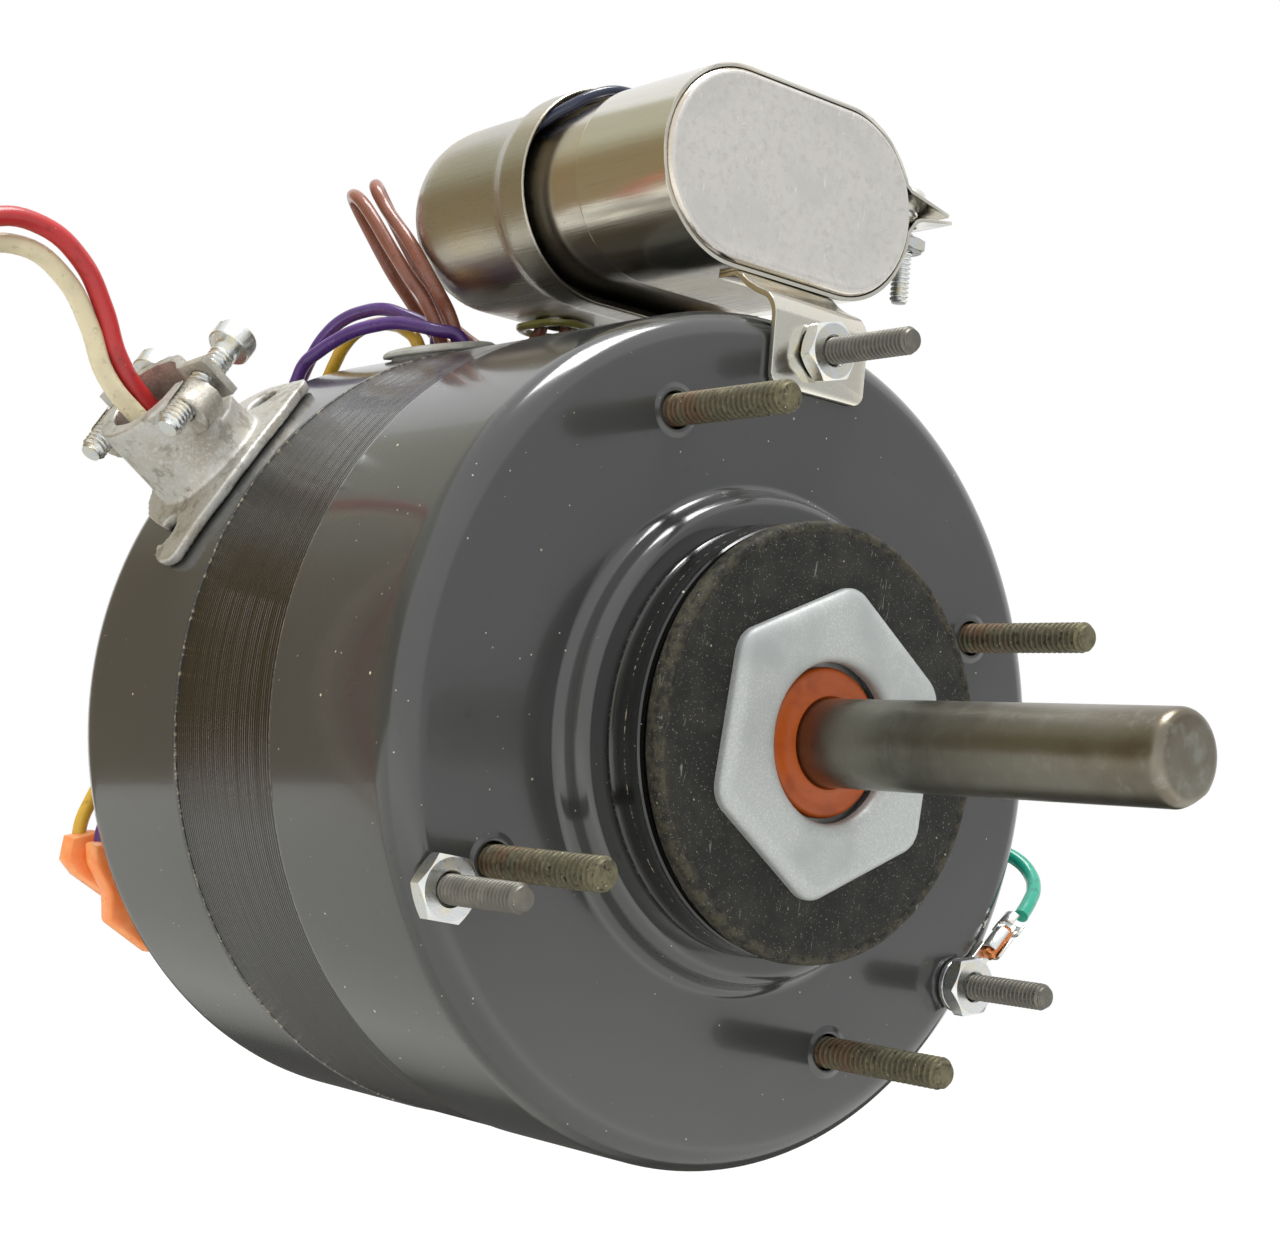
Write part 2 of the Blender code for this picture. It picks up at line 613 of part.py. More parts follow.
def strap():
    """Sheet strap round the can with two clamp ears, and the tongue and tab that the top stud holds."""
    r = CAP_HEIGHT / 2 + GAP
    half = (CAP_LENGTH - CAP_HEIGHT) / 2
    right = CAP_U + half
    low_ear = right + r * math.cos(math.radians(2))
    line = [(low_ear + 10.0, CAP_V + 3.0), (low_ear + 1.6, CAP_V + 0.6)]
    line += arc(right, CAP_V, r, -2, -90, 8)
    line += arc(CAP_U - half, CAP_V, r, 270, 90, 14)
    line += arc(right, CAP_V, r, 90, 22, 6)
    line += [(low_ear + 0.6, CAP_V + 5.0), (low_ear + 9.0, CAP_V + 4.6)]
    sheet = thick_line(line, -STRAP_T)
    band = prism("capacitor_strap", sheet, in_cap, STRAP_FRONT, STRAP_BACK, STRAP_STEEL, True)
    under = CAP_V - CAP_HEIGHT / 2 - GAP - STRAP_T
    tongue = [(12.0, under + 0.35), (7.0, under + 0.35), (5.2, under - 1.4), (2.4, under - 3.2)]
    tongue += [(0.2, under - 4.2), (-1.3, under - 6.2), (-1.3, -6.6)]
    sheet = prism("strap_tongue", thick_line(tongue, -0.9), across_cap, -9.8, 9.8)
    hole = prism("strap_tab_hole", circle(STUD_R + GAP, (0, STUD_CIRCLE_R), 16), along_y, -6, 4)
    screw_hole = prism("strap_screw_hole", circle(2.0, (0, 0), 16), at_ear_screw, -15, 25)
    boolean(band, [sheet], "UNION")
    return boolean(band, [hole, screw_hole], "DIFFERENCE")


def across_cap(y, v, u):
    """The capacitor frame for shapes that are pushed sideways."""
    return in_cap(u, v, y)


def at_ear_screw(a, b, h):
    """The strap screw's frame: up is h, from the level of the can's middle."""
    u = CAP_U + CAP_LENGTH / 2 + 5.6
    return in_cap(u + a, CAP_V + h, 13.5 + b)


def turned_on(name, profile, place, look, steps=16):
    """Turn an (r, h) line that starts and ends on the axis, then put it in the place's frame."""
    inner = profile[1:-1]
    verts = [place(0, 0, profile[0][1]), place(0, 0, profile[-1][1])]
    for k in range(steps):
        a, b = polar(1, 360 * k / steps)
        verts += [place(a * r, b * r, h) for r, h in inner]
    n = len(inner)
    faces = []
    for k in range(steps):
        p, q = 2 + k * n, 2 + (k + 1) % steps * n
        faces += [(p + i, p + i + 1, q + i + 1, q + i) for i in range(n - 1)]
        faces += [(0, p, q), (1, q + n - 1, p + n - 1)]
    return add(name, verts, faces, look)


def strap_screw():
    head, shank = 3.1, 1.6
    profile = [(0, -11.0), (shank - 0.3, -11.0), (shank, -10.6), (shank, 6.1), (head, 6.1), (head, 7.6)]
    turned_on("strap_screw", profile + [(head - 0.9, 8.6), (0, 8.6)], at_ear_screw, BRIGHT_ZINC)
    nut("strap_nut", 6.4, (0, 0), 0.0, shank + GAP, at_ear_screw, -2.4, -0.3)


def clamp_body():
    """Die-cast cable clamp: curved flange, round body open on one side, and two screw bosses."""
    sections = [(-21.8, 2.6), (-21.0, 4.6), (-19.0, 6.4), (-15.0, 8.6), (-10.0, 11.2), (-5.0, 12.4)]
    sections += [(0, 12.8)] + [(-s, w) for s, w in reversed(sections)]
    loops = []
    for s, w in sections:
        angle = s / BODY_R
        loop = []
        for r, y in ((BODY_R + GAP, -w), (BODY_R + GAP, w), (BODY_R + 2.0, w), (BODY_R + 2.0, -w)):
            loop.append(on_flange(r * math.cos(angle), r * math.sin(angle), y))
        loops.append(loop)
    body = loft("clamp_body", loops, ZINC)
    joined = [prism("clamp_tube", circle(9.6, (0, 0), 28), out_of_clamp, 64.6, CLAMP_TOP)]
    joined.append(prism("clamp_spigot", circle(8.1, (0, 0), 28), out_of_clamp, 56.8, 65.0))
    side = [(70.5, -20.0), (90.0, -20.0), (90.0, 20.0), (70.5, 20.0)]
    cuts = [prism("clamp_bore", circle(6.9, (0, 0), 28), out_of_clamp, 50.0, 90.0)]
    cuts.append(prism("clamp_mouth", side, across_clamp, 0.6, 20.0))
    for k, dy in enumerate((-CLAMP_SCREW_DY, CLAMP_SCREW_DY)):
        boss = circle(3.6, (CLAMP_SCREW_N - 1.6, dy))
        hole = circle(STUD_R + GAP, (CLAMP_SCREW_N, dy))
        joined.append(prism(f"clamp_boss_{k}", boss, across_clamp, -4.6, 0.2))
        cuts.append(prism(f"clamp_screw_hole_{k}", hole, across_clamp, -12.0, 12.0))
    boolean(body, joined, "UNION")
    for k, s in enumerate((-16.4, 16.4)):
        angle = s / BODY_R
        centre = ((BODY_R + 1) * math.sin(angle), 0.0)
        cuts.append(prism(f"flange_hole_{k}", circle(2.3, centre), out_of_flange, 50.0, 70.0))
    return boolean(body, cuts, "DIFFERENCE")


def clamp_parts():
    half = [(2.8, 5.6), (5.8, 4.4), (7.2, 2.2), (14.0, 2.2)]
    sheet = thick_line([(-y, t) for y, t in reversed(half)] + half, -1.6)
    bar = prism("clamp_bar", sheet, along_clamp, 73.4, 80.8, ZINC, True)
    holes = []
    for k, dy in enumerate((-CLAMP_SCREW_DY, CLAMP_SCREW_DY), 1):
        place = radial_screw(dy)
        holes.append(prism(f"bar_hole_{k}", circle(STUD_R + GAP, (0, 0), 16), place, -2, 12))
        profile = [(0, -8.6), (STUD_R - 0.3, -8.6), (STUD_R, -8.1), (STUD_R, 9.8), (3.5, 9.8)]
        profile += [(3.5, 12.6), (3.1, 13.1), (0, 13.1)]
        turned_on(f"clamp_screw_{k}", profile, place, BRIGHT_ZINC, 20)
    boolean(bar, holes, "DIFFERENCE")
    outer = circle(10.4, (0, 0), 24)
    inner = circle(8.4, (0, 0), 24)
    holed_prism("clamp_locknut", outer, inner, out_of_clamp, 57.4, 59.9, ZINC)


def along_clamp(y, t, n):
    """The clamp frame for shapes drawn across its screws."""
    return in_clamp(n, t, y)


def radial_screw(dy):
    """The frame of one clamp screw, whose axis runs round the shell."""

    def place(a, b, h):
        return in_clamp(CLAMP_SCREW_N + a, h, dy + b)

    return place


def leads():
    """The two supply leads: out of the clamp, over in an arch and down under their own weight."""
    red = [in_clamp(61.0, 1.5, 0.0), in_clamp(70.0, 1.5, 0.0), in_clamp(77.5, 1.4, 0.0)]
    red += [(-70.9, 77.4, 42.0), (-73.3, 77.2, 46.0), (-76.6, 77.0, 50.9), (-81.2, 77.0, 55.9)]
    red += [(-87.7, 77.0, 59.0), (-93.7, 77.0, 59.8), (-99.5, 77.0, 57.8), (-103.8, 77.0, 52.6)]
    red += [(-106.0, 77.0, 45.0), (-107.0, 77.0, 30.0), (-107.0, 77.0, 0.0), (-107.0, 77.0, -60.0)]
    red += [(-107.0, 77.0, -140.0)]
    wire("red_lead", red, 1.55, ((0.6, 0.03, 0.03), 0.4, 0.0), 8.0)
    cream = [in_clamp(61.0, -1.9, 0.0), in_clamp(70.0, -1.9, 0.0), in_clamp(78.5, -1.9, 0.0)]
    cream += [(-73.9, 77.6, 40.3), (-77.0, 77.8, 45.1), (-80.6, 78.0, 49.6), (-85.6, 78.3, 53.4)]
    cream += [(-91.9, 79.0, 55.4), (-97.0, 80.0, 54.6), (-100.8, 81.0, 51.0), (-102.8, 81.6, 45.0)]
    cream += [(-103.4, 82.0, 36.0), (-103.4, 82.0, 10.0), (-103.4, 82.0, -60.0), (-103.4, 82.0, -136.0)]
    wire("cream_lead", cream, 1.55, ((0.75, 0.7, 0.5), 0.4, 0.0), 8.0)


def jumper_wires():
    """Thin wires from the shell to the capacitor and to the joined pair behind the shell."""
    brown = ((0.28, 0.11, 0.07), 0.35, 0.0)
    purple = ((0.13, 0.05, 0.28), 0.35, 0.0)
    yellow = ((0.75, 0.5, 0.06), 0.35, 0.0)
    route = exit_points(0.9, 1.0) + [(-23.7, 72.0, 68.7), (-27.6, 74.0, 73.1), (-31.0, 77.6, 78.9)]
    route += [(-33.0, 81.2, 83.6), (-33.4, 84.8, 86.2), (-31.0, 89.4, 87.2), (-25.4, 91.6, 83.6)]
    route += [(-17.0, 91.2, 75.8), (-6.0, 89.4, 68.0), in_cap(1.4, 6.6, 79.0), in_cap(0.9, 6.6, 70.0)]
    wire("brown_wire_1", route + [in_cap(0.9, 8.8, 64.4), in_cap(0.9, 13.0, 63.0)], 1.15, brown, 5.5)
    route = exit_points(4.0, 0.6) + [(-20.8, 69.2, 67.6), (-25.2, 69.7, 72.1), (-28.3, 73.1, 77.9)]
    route += [(-29.8, 79.6, 84.0), (-30.9, 82.8, 88.0), (-28.6, 86.2, 89.6), (-23.0, 88.4, 86.0)]
    route += [(-15.0, 88.0, 78.0), (-9.0, 86.4, 71.4), in_cap(-2.8, 8.0, 81.0), in_cap(-2.4, 7.0, 74.0)]
    route += [in_cap(-2.3, 7.8, 69.0), in_cap(-2.3, 10.4, 66.4)]
    wire("brown_wire_2", route + [in_cap(-2.3, 13.4, 65.8)], 1.15, brown, 5.5)
    route = exit_points(1.6, 3.5) + [(-18.9, 75.4, 65.6), (-21.4, 80.0, 67.7), (-24.6, 85.0, 68.8)]
    route += [(-28.2, 90.0, 66.3), (-29.9, 93.4, 62.0), (-30.4, 96.6, 55.6), (-30.5, 99.5, 47.0)]
    route += [(-30.0, 101.5, 30.0), (-32.0, 102.0, 10.0), (-37.0, 101.6, -12.0), (-41.4, 100.6, -26.0)]
    wire("purple_wire_1", route + [(-42.0, 100.5, -33.0)], 1.15, purple, 7.0)
    route = exit_points(2.2, -3.7) + [(-23.2, 65.0, 62.6), (-25.9, 68.2, 63.2), (-28.5, 73.5, 63.7)]
    route += [(-31.8, 80.0, 61.9), (-33.4, 86.0, 59.0), (-34.0, 90.6, 56.2), (-34.0, 93.2, 50.0)]
    route += [(-36.4, 94.6, 40.0), (-41.0, 95.0, 22.0), (-45.5, 95.2, 0.0), (-49.0, 95.4, -18.0)]
    wire("purple_wire_2", route + [(-51.4, 95.6, -28.6)], 1.15, purple, 7.0)
    route = exit_points(-2.2, 3.2) + [(-25.2, 74.0, 63.4), (-25.6, 80.0, 65.2), (-27.2, 85.0, 64.4)]
    route += [(-27.8, 89.4, 61.0), (-27.4, 93.0, 55.6), (-28.6, 96.6, 47.0), (-34.0, 99.4, 28.0)]
    route += [(-42.0, 100.2, 4.0), (-47.6, 100.4, -12.0), (-51.2, 100.5, -21.0)]
    wire("yellow_wire", route + [(-52.8, 100.5, -27.4)], 1.15, yellow, 7.0)
    half = (CAP_LENGTH - CAP_HEIGHT) / 2
    blue = []
    route = [(-1, 150, 43.0), (-1, 141, 39.5), (-1, 131, 36.4), (-1, 116, 34.8), (-1, 92, 34.2)]
    route += [(1, 88, 34.2), (1, 66, 34.8), (1, 52, 36.6), (1, 40, 40.0), (1, 33, 43.0)]
    for side, angle, y in route:
        u, v = polar(CAP_HEIGHT / 2 + 1.25, angle)
        blue.append(in_cap(CAP_U + side * half + u, CAP_V + v, y))
    wire("blue_wire", blue, 0.9, ((0.03, 0.04, 0.12), 0.35, 0.0), 4.5)
    green = [at_green(0, 0, h) for h in (55.0, 61.0, 66.4)] + [(68.8, 63.2, -4.8), (69.2, 57.0, -4.9)]
    green += [(68.0, 40.0, -5.0), (67.6, 25.0, -5.2), (68.8, 14.0, -5.6), (70.6, 8.4, -6.6)]
    green += [(71.0, 5.0, -8.4), (69.6, 2.0, -10.9), (66.4, -0.4, -13.9), (63.0, -1.8, -17.0)]
    wire("green_wire", green, 1.2, ((0.02, 0.42, 0.3), 0.35, 0.0), 6.0)


def exit_points(a, b):
    """First points of a wire through the big grommet, a round the shell and b along it."""
    return [at_grommet(a, b - 0.5, h) for h in (54.5, 60.0, 65.2)]


def insulators():
    """Two soft insulators over the joined terminals behind the shell."""
    upper = [(-55.0, -29.6), (-50.6, -27.9), (-49.2, -30.6), (-38.0, -35.4), (-40.0, -41.0)]
    upper += [(-52.6, -35.6), (-55.0, -33.6)]
    lower = [(-53.4, -30.2), (-49.4, -28.9), (-46.0, -33.0), (-38.0, -37.6), (-36.0, -44.4)]
    lower += [(-39.4, -46.2), (-47.6, -42.4), (-48.8, -37.6), (-52.6, -33.2)]
    prism("terminal_insulator_1", upper, along_y, 98.4, 102.6, ORANGE)
    prism("terminal_insulator_2", lower, along_y, 93.5, 97.7, ORANGE)


def ground_terminal():
    """Ring terminal under the nut of the third stud, with its crimped barrel."""
    x, z = polar(STUD_CIRCLE_R, STUD_ANGLES[2])
    angle = 50.0
    out = Vector((*polar(1, angle), 0))
    side = Vector((-out.y, out.x, 0))

    def place(a, b, h):
        p = out * a + side * b
        return (x + p.x, h, z + p.y)

    def along_barrel(b, h, a):
        return place(a, b, h)

    eye = arc(0, 0, 4.3, 30, 330, 14) + [(5.6, -1.4), (8.4, -1.4), (8.4, 1.4), (5.6, 1.4)]
    body = prism("ground_terminal", eye, place, -1.2, -GAP, BRIGHT_ZINC)
    barrel = prism("terminal_barrel", circle(1.8, (0, -2.0)), along_barrel, 7.6, 15.6)
    boolean(body, [barrel], "UNION")
    bore = prism("terminal_bore", circle(1.3, (0, -2.0)), along_barrel, 9.4, 20.0)
    hole = cylinder("terminal_hole", (x, z), STUD_R + GAP, -4, 4)
    return boolean(body, [bore, hole], "DIFFERENCE")


for old in list(bpy.data.objects):
    bpy.data.objects.remove(old, do_unlink=True)

front_bell()
rear_bell()
stator_core()
windings()
rotor()
bearings()
hub_ring()
fasteners()
capacitor()
strap()
strap_screw()
clamp_body()
clamp_parts()
grommet("wire_grommet", at_grommet, 8.4, 6.9, RUBBER)
grommet("green_grommet", at_green, 3.6, 1.6, RUBBER)
leads()
jumper_wires()
insulators()
ground_terminal()
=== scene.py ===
"""Combustion fan motor: detailed pieces, materials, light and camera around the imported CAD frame.

Lengths in this script are millimetres unless a name ends in _M. The shaft lies along Y and points to -Y,
the flat front face of the shell is at y = 0, X is to the right seen from the front and Z is up.
"""

import math
import random

import bmesh
import bpy
from mathutils import Matrix, Vector, noise


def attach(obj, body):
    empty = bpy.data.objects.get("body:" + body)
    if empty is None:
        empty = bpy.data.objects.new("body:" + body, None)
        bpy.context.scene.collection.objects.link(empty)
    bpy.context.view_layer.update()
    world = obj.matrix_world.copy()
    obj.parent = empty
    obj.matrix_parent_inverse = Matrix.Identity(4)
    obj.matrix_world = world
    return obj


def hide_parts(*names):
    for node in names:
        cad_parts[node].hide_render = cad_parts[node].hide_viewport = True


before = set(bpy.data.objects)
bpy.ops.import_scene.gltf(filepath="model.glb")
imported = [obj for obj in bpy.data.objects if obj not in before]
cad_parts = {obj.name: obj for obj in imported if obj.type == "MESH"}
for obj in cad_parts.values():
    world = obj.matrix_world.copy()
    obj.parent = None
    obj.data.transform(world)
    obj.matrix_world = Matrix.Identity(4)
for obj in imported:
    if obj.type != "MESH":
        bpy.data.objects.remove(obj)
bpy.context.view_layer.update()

MM = 0.001
PER_METRE = 1000
SHARP = math.radians(32)
ROUND_STEPS = 192

# Shell
BODY_R = 63.5
SHELL_T = 1.6
STACK_START = 31.6
STACK_END = 58.1
SEAM = 0.15
BODY_END = 90.8
NOSE_R = 21.0
NOSE_FRONT = -15.2
REAR_HUB_R = 20.5
REAR_HUB_END = 98.5

# Shaft and hub
SHAFT_R = 6.35
SHAFT_TIP = -77.75
RING_R = 31.75
RING_FRONT = -15.3
PLATE_FRONT = -17.45
PLATE_CORNER_R = 23.2
PLATE_HOLE_R = 11.5

# Fasteners
BOLT_CIRCLE_R = 50.0
BOLT_ANGLES = (30.0, 120.0, 210.0, 300.0)
BOLT_R = 2.4
BOLT_GAP = 0.36
BOLT_TIP = -24.0
BOLT_PITCH = 1.06
STUD_CIRCLE_R = 59.45
STUD_ANGLES = (90.0, 210.0, 330.0)
STUD_R = 2.08
STUD_GAP = 0.3
SCREW_GAP = 0.15
STUD_TIPS = (-20.3, -18.7, -18.7)
STUD_PITCH = 0.8
NUT_FLATS = 8.73
NUT_T = 2.7
NUT_SEATS = ((20.0, -1.6), (0.0, -0.3), (14.0, -1.5))

# Capacitor
CAP_TURN = math.radians(5.5)
CAP_U = -0.65
CAP_V = 27.3
CAP_LENGTH = 52.0
CAP_HEIGHT = 29.9
CAP_R = CAP_HEIGHT / 2
CAP_HALF = (CAP_LENGTH - CAP_HEIGHT) / 2
STRAP_T = 0.6
STRAP_FRONT = 7.2
STRAP_BACK = 28.0

# Cable clamp
CLAMP_ANGLE = math.radians(150.3)
CLAMP_Y = 75.3
CLAMP_TOP = 79.5
CLAMP_SCREW_N = 77.3
CLAMP_SCREW_DY = 10.4
CLAMP_TWIST = math.radians(9.5)

_out = Vector((math.cos(CLAMP_ANGLE), 0.0, math.sin(CLAMP_ANGLE)))
_round = Vector((_out.z, 0.0, -_out.x))


# ---------------------------------------------------------------- frames


def in_clamp(n, t, y):
    """A point of the cable clamp, whose tube is turned about its own axis on the shell."""
    c, s = math.cos(CLAMP_TWIST), math.sin(CLAMP_TWIST)
    p = _out * n + _round * (t * c - y * s)
    return Vector((p.x, CLAMP_Y + t * s + y * c, p.z))


def in_cap(u, v, y):
    """A point of the capacitor frame, which is turned about the top stud."""
    c, s = math.cos(CAP_TURN), math.sin(CAP_TURN)
    return Vector((u * c - v * s, y, u * s + v * c + STUD_CIRCLE_R))


def polar(r, degrees):
    """A flat point at a radius and an angle."""
    return (r * math.cos(math.radians(degrees)), r * math.sin(math.radians(degrees)))


def radial(angle, y0):
    """A frame whose third number runs out from the shaft axis."""
    out = Vector((*polar(1, angle), 0)).xzy
    side = Vector((out.z, 0, -out.x))
    return lambda a, b, h: out * h + side * a + Vector((0, y0 + b, 0))


def axial(centre):
    """A frame whose third number runs along Y through (x, z)."""
    return lambda a, b, h: Vector((centre[0] + a, h, centre[1] + b))


def circle(r, centre=(0.0, 0.0), steps=32, start=0.0):
    """Points of a full circle in a flat frame."""
    spokes = [polar(r, 360 * k / steps + start) for k in range(steps)]
    return [(centre[0] + a, centre[1] + b) for a, b in spokes]


ON_SHAFT = axial((0, 0))


def arc(cx, cy, r, a0, a1, steps):
    """Points of an arc, angles in degrees, both ends included."""
    angles = [math.radians(a0 + (a1 - a0) * k / steps) for k in range(steps + 1)]
    return [(cx + r * math.cos(a), cy + r * math.sin(a)) for a in angles]


# ---------------------------------------------------------------- meshes


def make(name, verts, faces, mat, body="motor", sharp=SHARP, show=True):
    """A mesh piece from points in millimetres; show is off for cutters."""
    mesh = bpy.data.meshes.new(name)
    bm = bmesh.new()
    made = [bm.verts.new(Vector(v) * MM) for v in verts]
    for face in faces:
        bm.faces.new([made[i] for i in face])
    bmesh.ops.recalc_face_normals(bm, faces=bm.faces)
    bm.to_mesh(mesh)
    bm.free()
    obj = bpy.data.objects.new(name, mesh)
    bpy.context.scene.collection.objects.link(obj)
    mesh.shade_smooth()
    mesh.set_sharp_from_angle(angle=sharp)
    if mat is not None:
        mesh.materials.append(mat)
    if show:
        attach(obj, body)
    return obj


def stands_for(node):
    """Hide the CAD node that a piece stands in for."""
    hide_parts(node)


def grid_faces(rows, n, closed_rows=False):
    """Faces between neighbouring loops of n points."""
    faces = []
    for k in range(rows if closed_rows else rows - 1):
        a, b = k * n, (k + 1) % rows * n
        faces += [(a + i, a + (i + 1) % n, b + (i + 1) % n, b + i) for i in range(n)]
    return faces


def stacked(name, loops, mat, body="motor", closed=False, sharp=SHARP, show=True):
    """Join loops of equal size, each a closed line, and cap the two ends unless the row itself closes."""
    n = len(loops[0])
    verts = [p for loop in loops for p in loop]
    faces = grid_faces(len(loops), n, closed)
    if not closed:
        faces += [tuple(range(n)), tuple(range((len(loops) - 1) * n, len(loops) * n))]
    return make(name, verts, faces, mat, body, sharp, show)


def turned(name, profile, place, mat, body="motor", steps=48, closed=False, sharp=SHARP, show=True):
    """Turn an (r, h) line about the third direction of a frame."""
    spokes = [polar(1, 360 * k / steps) for k in range(steps)]
    loops = [[place(a * r, b * r, h) for a, b in spokes] for r, h in profile]
    return stacked(name, loops, mat, body, closed, sharp, show)


def cut(obj, cutters, operation="DIFFERENCE"):
    """Apply booleans and remove the cutters."""
    for cutter in cutters:
        mod = obj.modifiers.new("cut", "BOOLEAN")
        mod.operation = operation
        mod.object = cutter
        mod.solver = "EXACT"
    freeze(obj)
    for cutter in cutters:
        bpy.data.objects.remove(cutter, do_unlink=True)
    return obj


def freeze(obj, sharp=SHARP):
    """Apply all modifiers of a mesh object."""
    depsgraph = bpy.context.evaluated_depsgraph_get()
    mesh = bpy.data.meshes.new_from_object(obj.evaluated_get(depsgraph), depsgraph=depsgraph)
    old = obj.data
    obj.modifiers.clear()
    obj.data = mesh
    bpy.data.meshes.remove(old)
    mesh.shade_smooth()
    mesh.set_sharp_from_angle(angle=sharp)
    return obj


def soften(obj, width, segments=2, angle=35):
    """Round the edges of a piece."""
    mod = obj.modifiers.new("edges", "BEVEL")
    mod.width = width * MM
    mod.segments = segments
    mod.limit_method = "ANGLE"
    mod.angle_limit = math.radians(angle)
    mod.harden_normals = False
    freeze(obj, math.radians(50))
    return obj


def cast(obj, voxel, rounds):
    """Give a piece the rounded edges of a casting: voxel remesh, then smoothing."""
    mod = obj.modifiers.new("voxels", "REMESH")
    mod.mode = "VOXEL"
    mod.voxel_size = voxel * MM
    mod.use_smooth_shade = True
    mod = obj.modifiers.new("smooth", "SMOOTH")
    mod.factor = 0.5
    mod.iterations = rounds
    freeze(obj, math.radians(70))
    return obj


def cutter(r, place, low, high, steps=32):
    """A round cutter between two heights of a frame."""
    return turned("cutter", [(r, low), (r, high)], place, None, steps=steps, show=False)


def prism(name, outline, place, low, high, mat=None):
    """A straight block on a flat outline; without a material it is a hidden cutter."""
    loops = [[place(a, b, h) for a, b in outline] for h in (low, high)]
    return stacked(name, loops, mat, show=mat is not None)


def thread_radius(r, pitch, depth, along, turn):
    """Height of a helical thread at a distance along the axis and a turn in whole circles."""
    phase = (along / pitch - turn) % 1.0
    tooth = 1 - abs(2 * phase - 1)
    return r - depth + depth * min(1.0, max(0.0, 1.35 * tooth - 0.12))


def threaded(name, place, r, pitch, tip, end, plain_to, mat, tail=(), steps=28, cone=0.7):
    """A screw shank: chamfered tip, helical thread to end, plain shank and an (r, h) tail behind it."""
    depth = 0.58 * pitch
    sign = 1 if end > tip else -1
    per_turn = 8
    rows = int(abs(end - tip) / pitch * per_turn)
    loops = []
    spokes = [polar(1, 360 * k / steps) for k in range(steps)]
    for scale in (0.35, 0.75):
        h = tip - sign * 0.05 * (1 - scale)
        loops.append([place(a * r * scale, b * r * scale, h) for a, b in spokes])
    for row in range(rows + 1):
        h = tip + (end - tip) * row / rows
        away = abs(h - tip)
        fade = min(1.0, abs(end - h) / (pitch * 1.2))
        loop = []
        for k, (a, b) in enumerate(spokes):
            full = thread_radius(r, pitch, depth * fade, away, k / steps)
            full = min(full, r - cone + away)
            loop.append(place(a * full, b * full, h))
        loops.append(loop)
    for rr, h in ((r, plain_to), *tail):
        loops.append([place(a * rr, b * rr, h) for a, b in spokes])
    return stacked(name, loops, mat, sharp=math.radians(60))


def nut(name, place, flats, bore, turn, front, back, mat, chamfer_back=True):
    """A hexagon nut with chamfered corners and a countersunk bore; front and back are along the axis."""
    steps = 96
    face_r = flats / 2 * 0.96
    sign = 1 if back > front else -1
    loops = {key: [] for key in ("bore_f", "sink_f", "face_f", "edge_f", "edge_b", "face_b", "bore_b")}
    for k in range(steps):
        angle = 360 * k / steps
        off = (angle - turn) % 60 - 30
        r = flats / 2 / math.cos(math.radians(off))
        drop = max(0.0, (r - face_r)) * math.tan(math.radians(30))
        a, b = polar(1, angle)
        loops["bore_f"].append(place(a * bore, b * bore, front + sign * 0.35))
        loops["sink_f"].append(place(a * (bore + 0.35), b * (bore + 0.35), front))
        loops["face_f"].append(place(a * face_r, b * face_r, front))
        loops["edge_f"].append(place(a * r, b * r, front + sign * drop))
        loops["edge_b"].append(place(a * r, b * r, back - sign * (drop if chamfer_back else 0.0)))
        loops["face_b"].append(place(a * face_r, b * face_r, back))
        loops["bore_b"].append(place(a * bore, b * bore, back))
    return stacked(name, list(loops.values()), mat, closed=True, sharp=math.radians(18))


def tube(name, points, r, mat, resolution=6):
    """A wire on one smooth curve through points in millimetres."""
    curve = bpy.data.curves.new(name, "CURVE")
    curve.dimensions = "3D"
    curve.bevel_depth = r * MM
    curve.bevel_resolution = resolution
    curve.use_fill_caps = True
    curve.resolution_u = 6
    spline = curve.splines.new("BEZIER")
    spline.bezier_points.add(len(points) - 1)
    for knot, p in zip(spline.bezier_points, points):
        knot.co = Vector(p) * MM
        knot.handle_left_type = knot.handle_right_type = "AUTO"
    curve.materials.append(mat)
    obj = bpy.data.objects.new(name, curve)
    bpy.context.scene.collection.objects.link(obj)
    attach(obj, "motor")
    return obj


def spaced(points, step):
    """Points every step millimetres along a smooth curve through the route's own points."""
    pts = [Vector(p) for p in points]
    ends = [pts[0] * 2 - pts[1], *pts, pts[-1] * 2 - pts[-2]]
    dense = []
    for k in range(1, len(ends) - 2):
        p0, p1, p2, p3 = ends[k - 1 : k + 3]
        for j in range(20):
            s = j / 20
            a = p1 * 2 + (p2 - p0) * s
            b = (p0 * 2 - p1 * 5 + p2 * 4 - p3) * s * s + (p1 * 3 - p0 - p2 * 3 + p3) * s**3
            dense.append((a + b) / 2)
    dense.append(pts[-1])
    total = sum((b - a).length for a, b in zip(dense, dense[1:]))
    count = max(4, round(total / step))
    line, done, target = [dense[0]], 0.0, total / count
    for a, b in zip(dense, dense[1:]):
        d = (b - a).length
        while done + d >= target * len(line) and len(line) < count:
            line.append(a.lerp(b, (target * len(line) - done) / d))
        done += d
    line.append(dense[-1])
    return line, total


# ---------------------------------------------------------------- materials


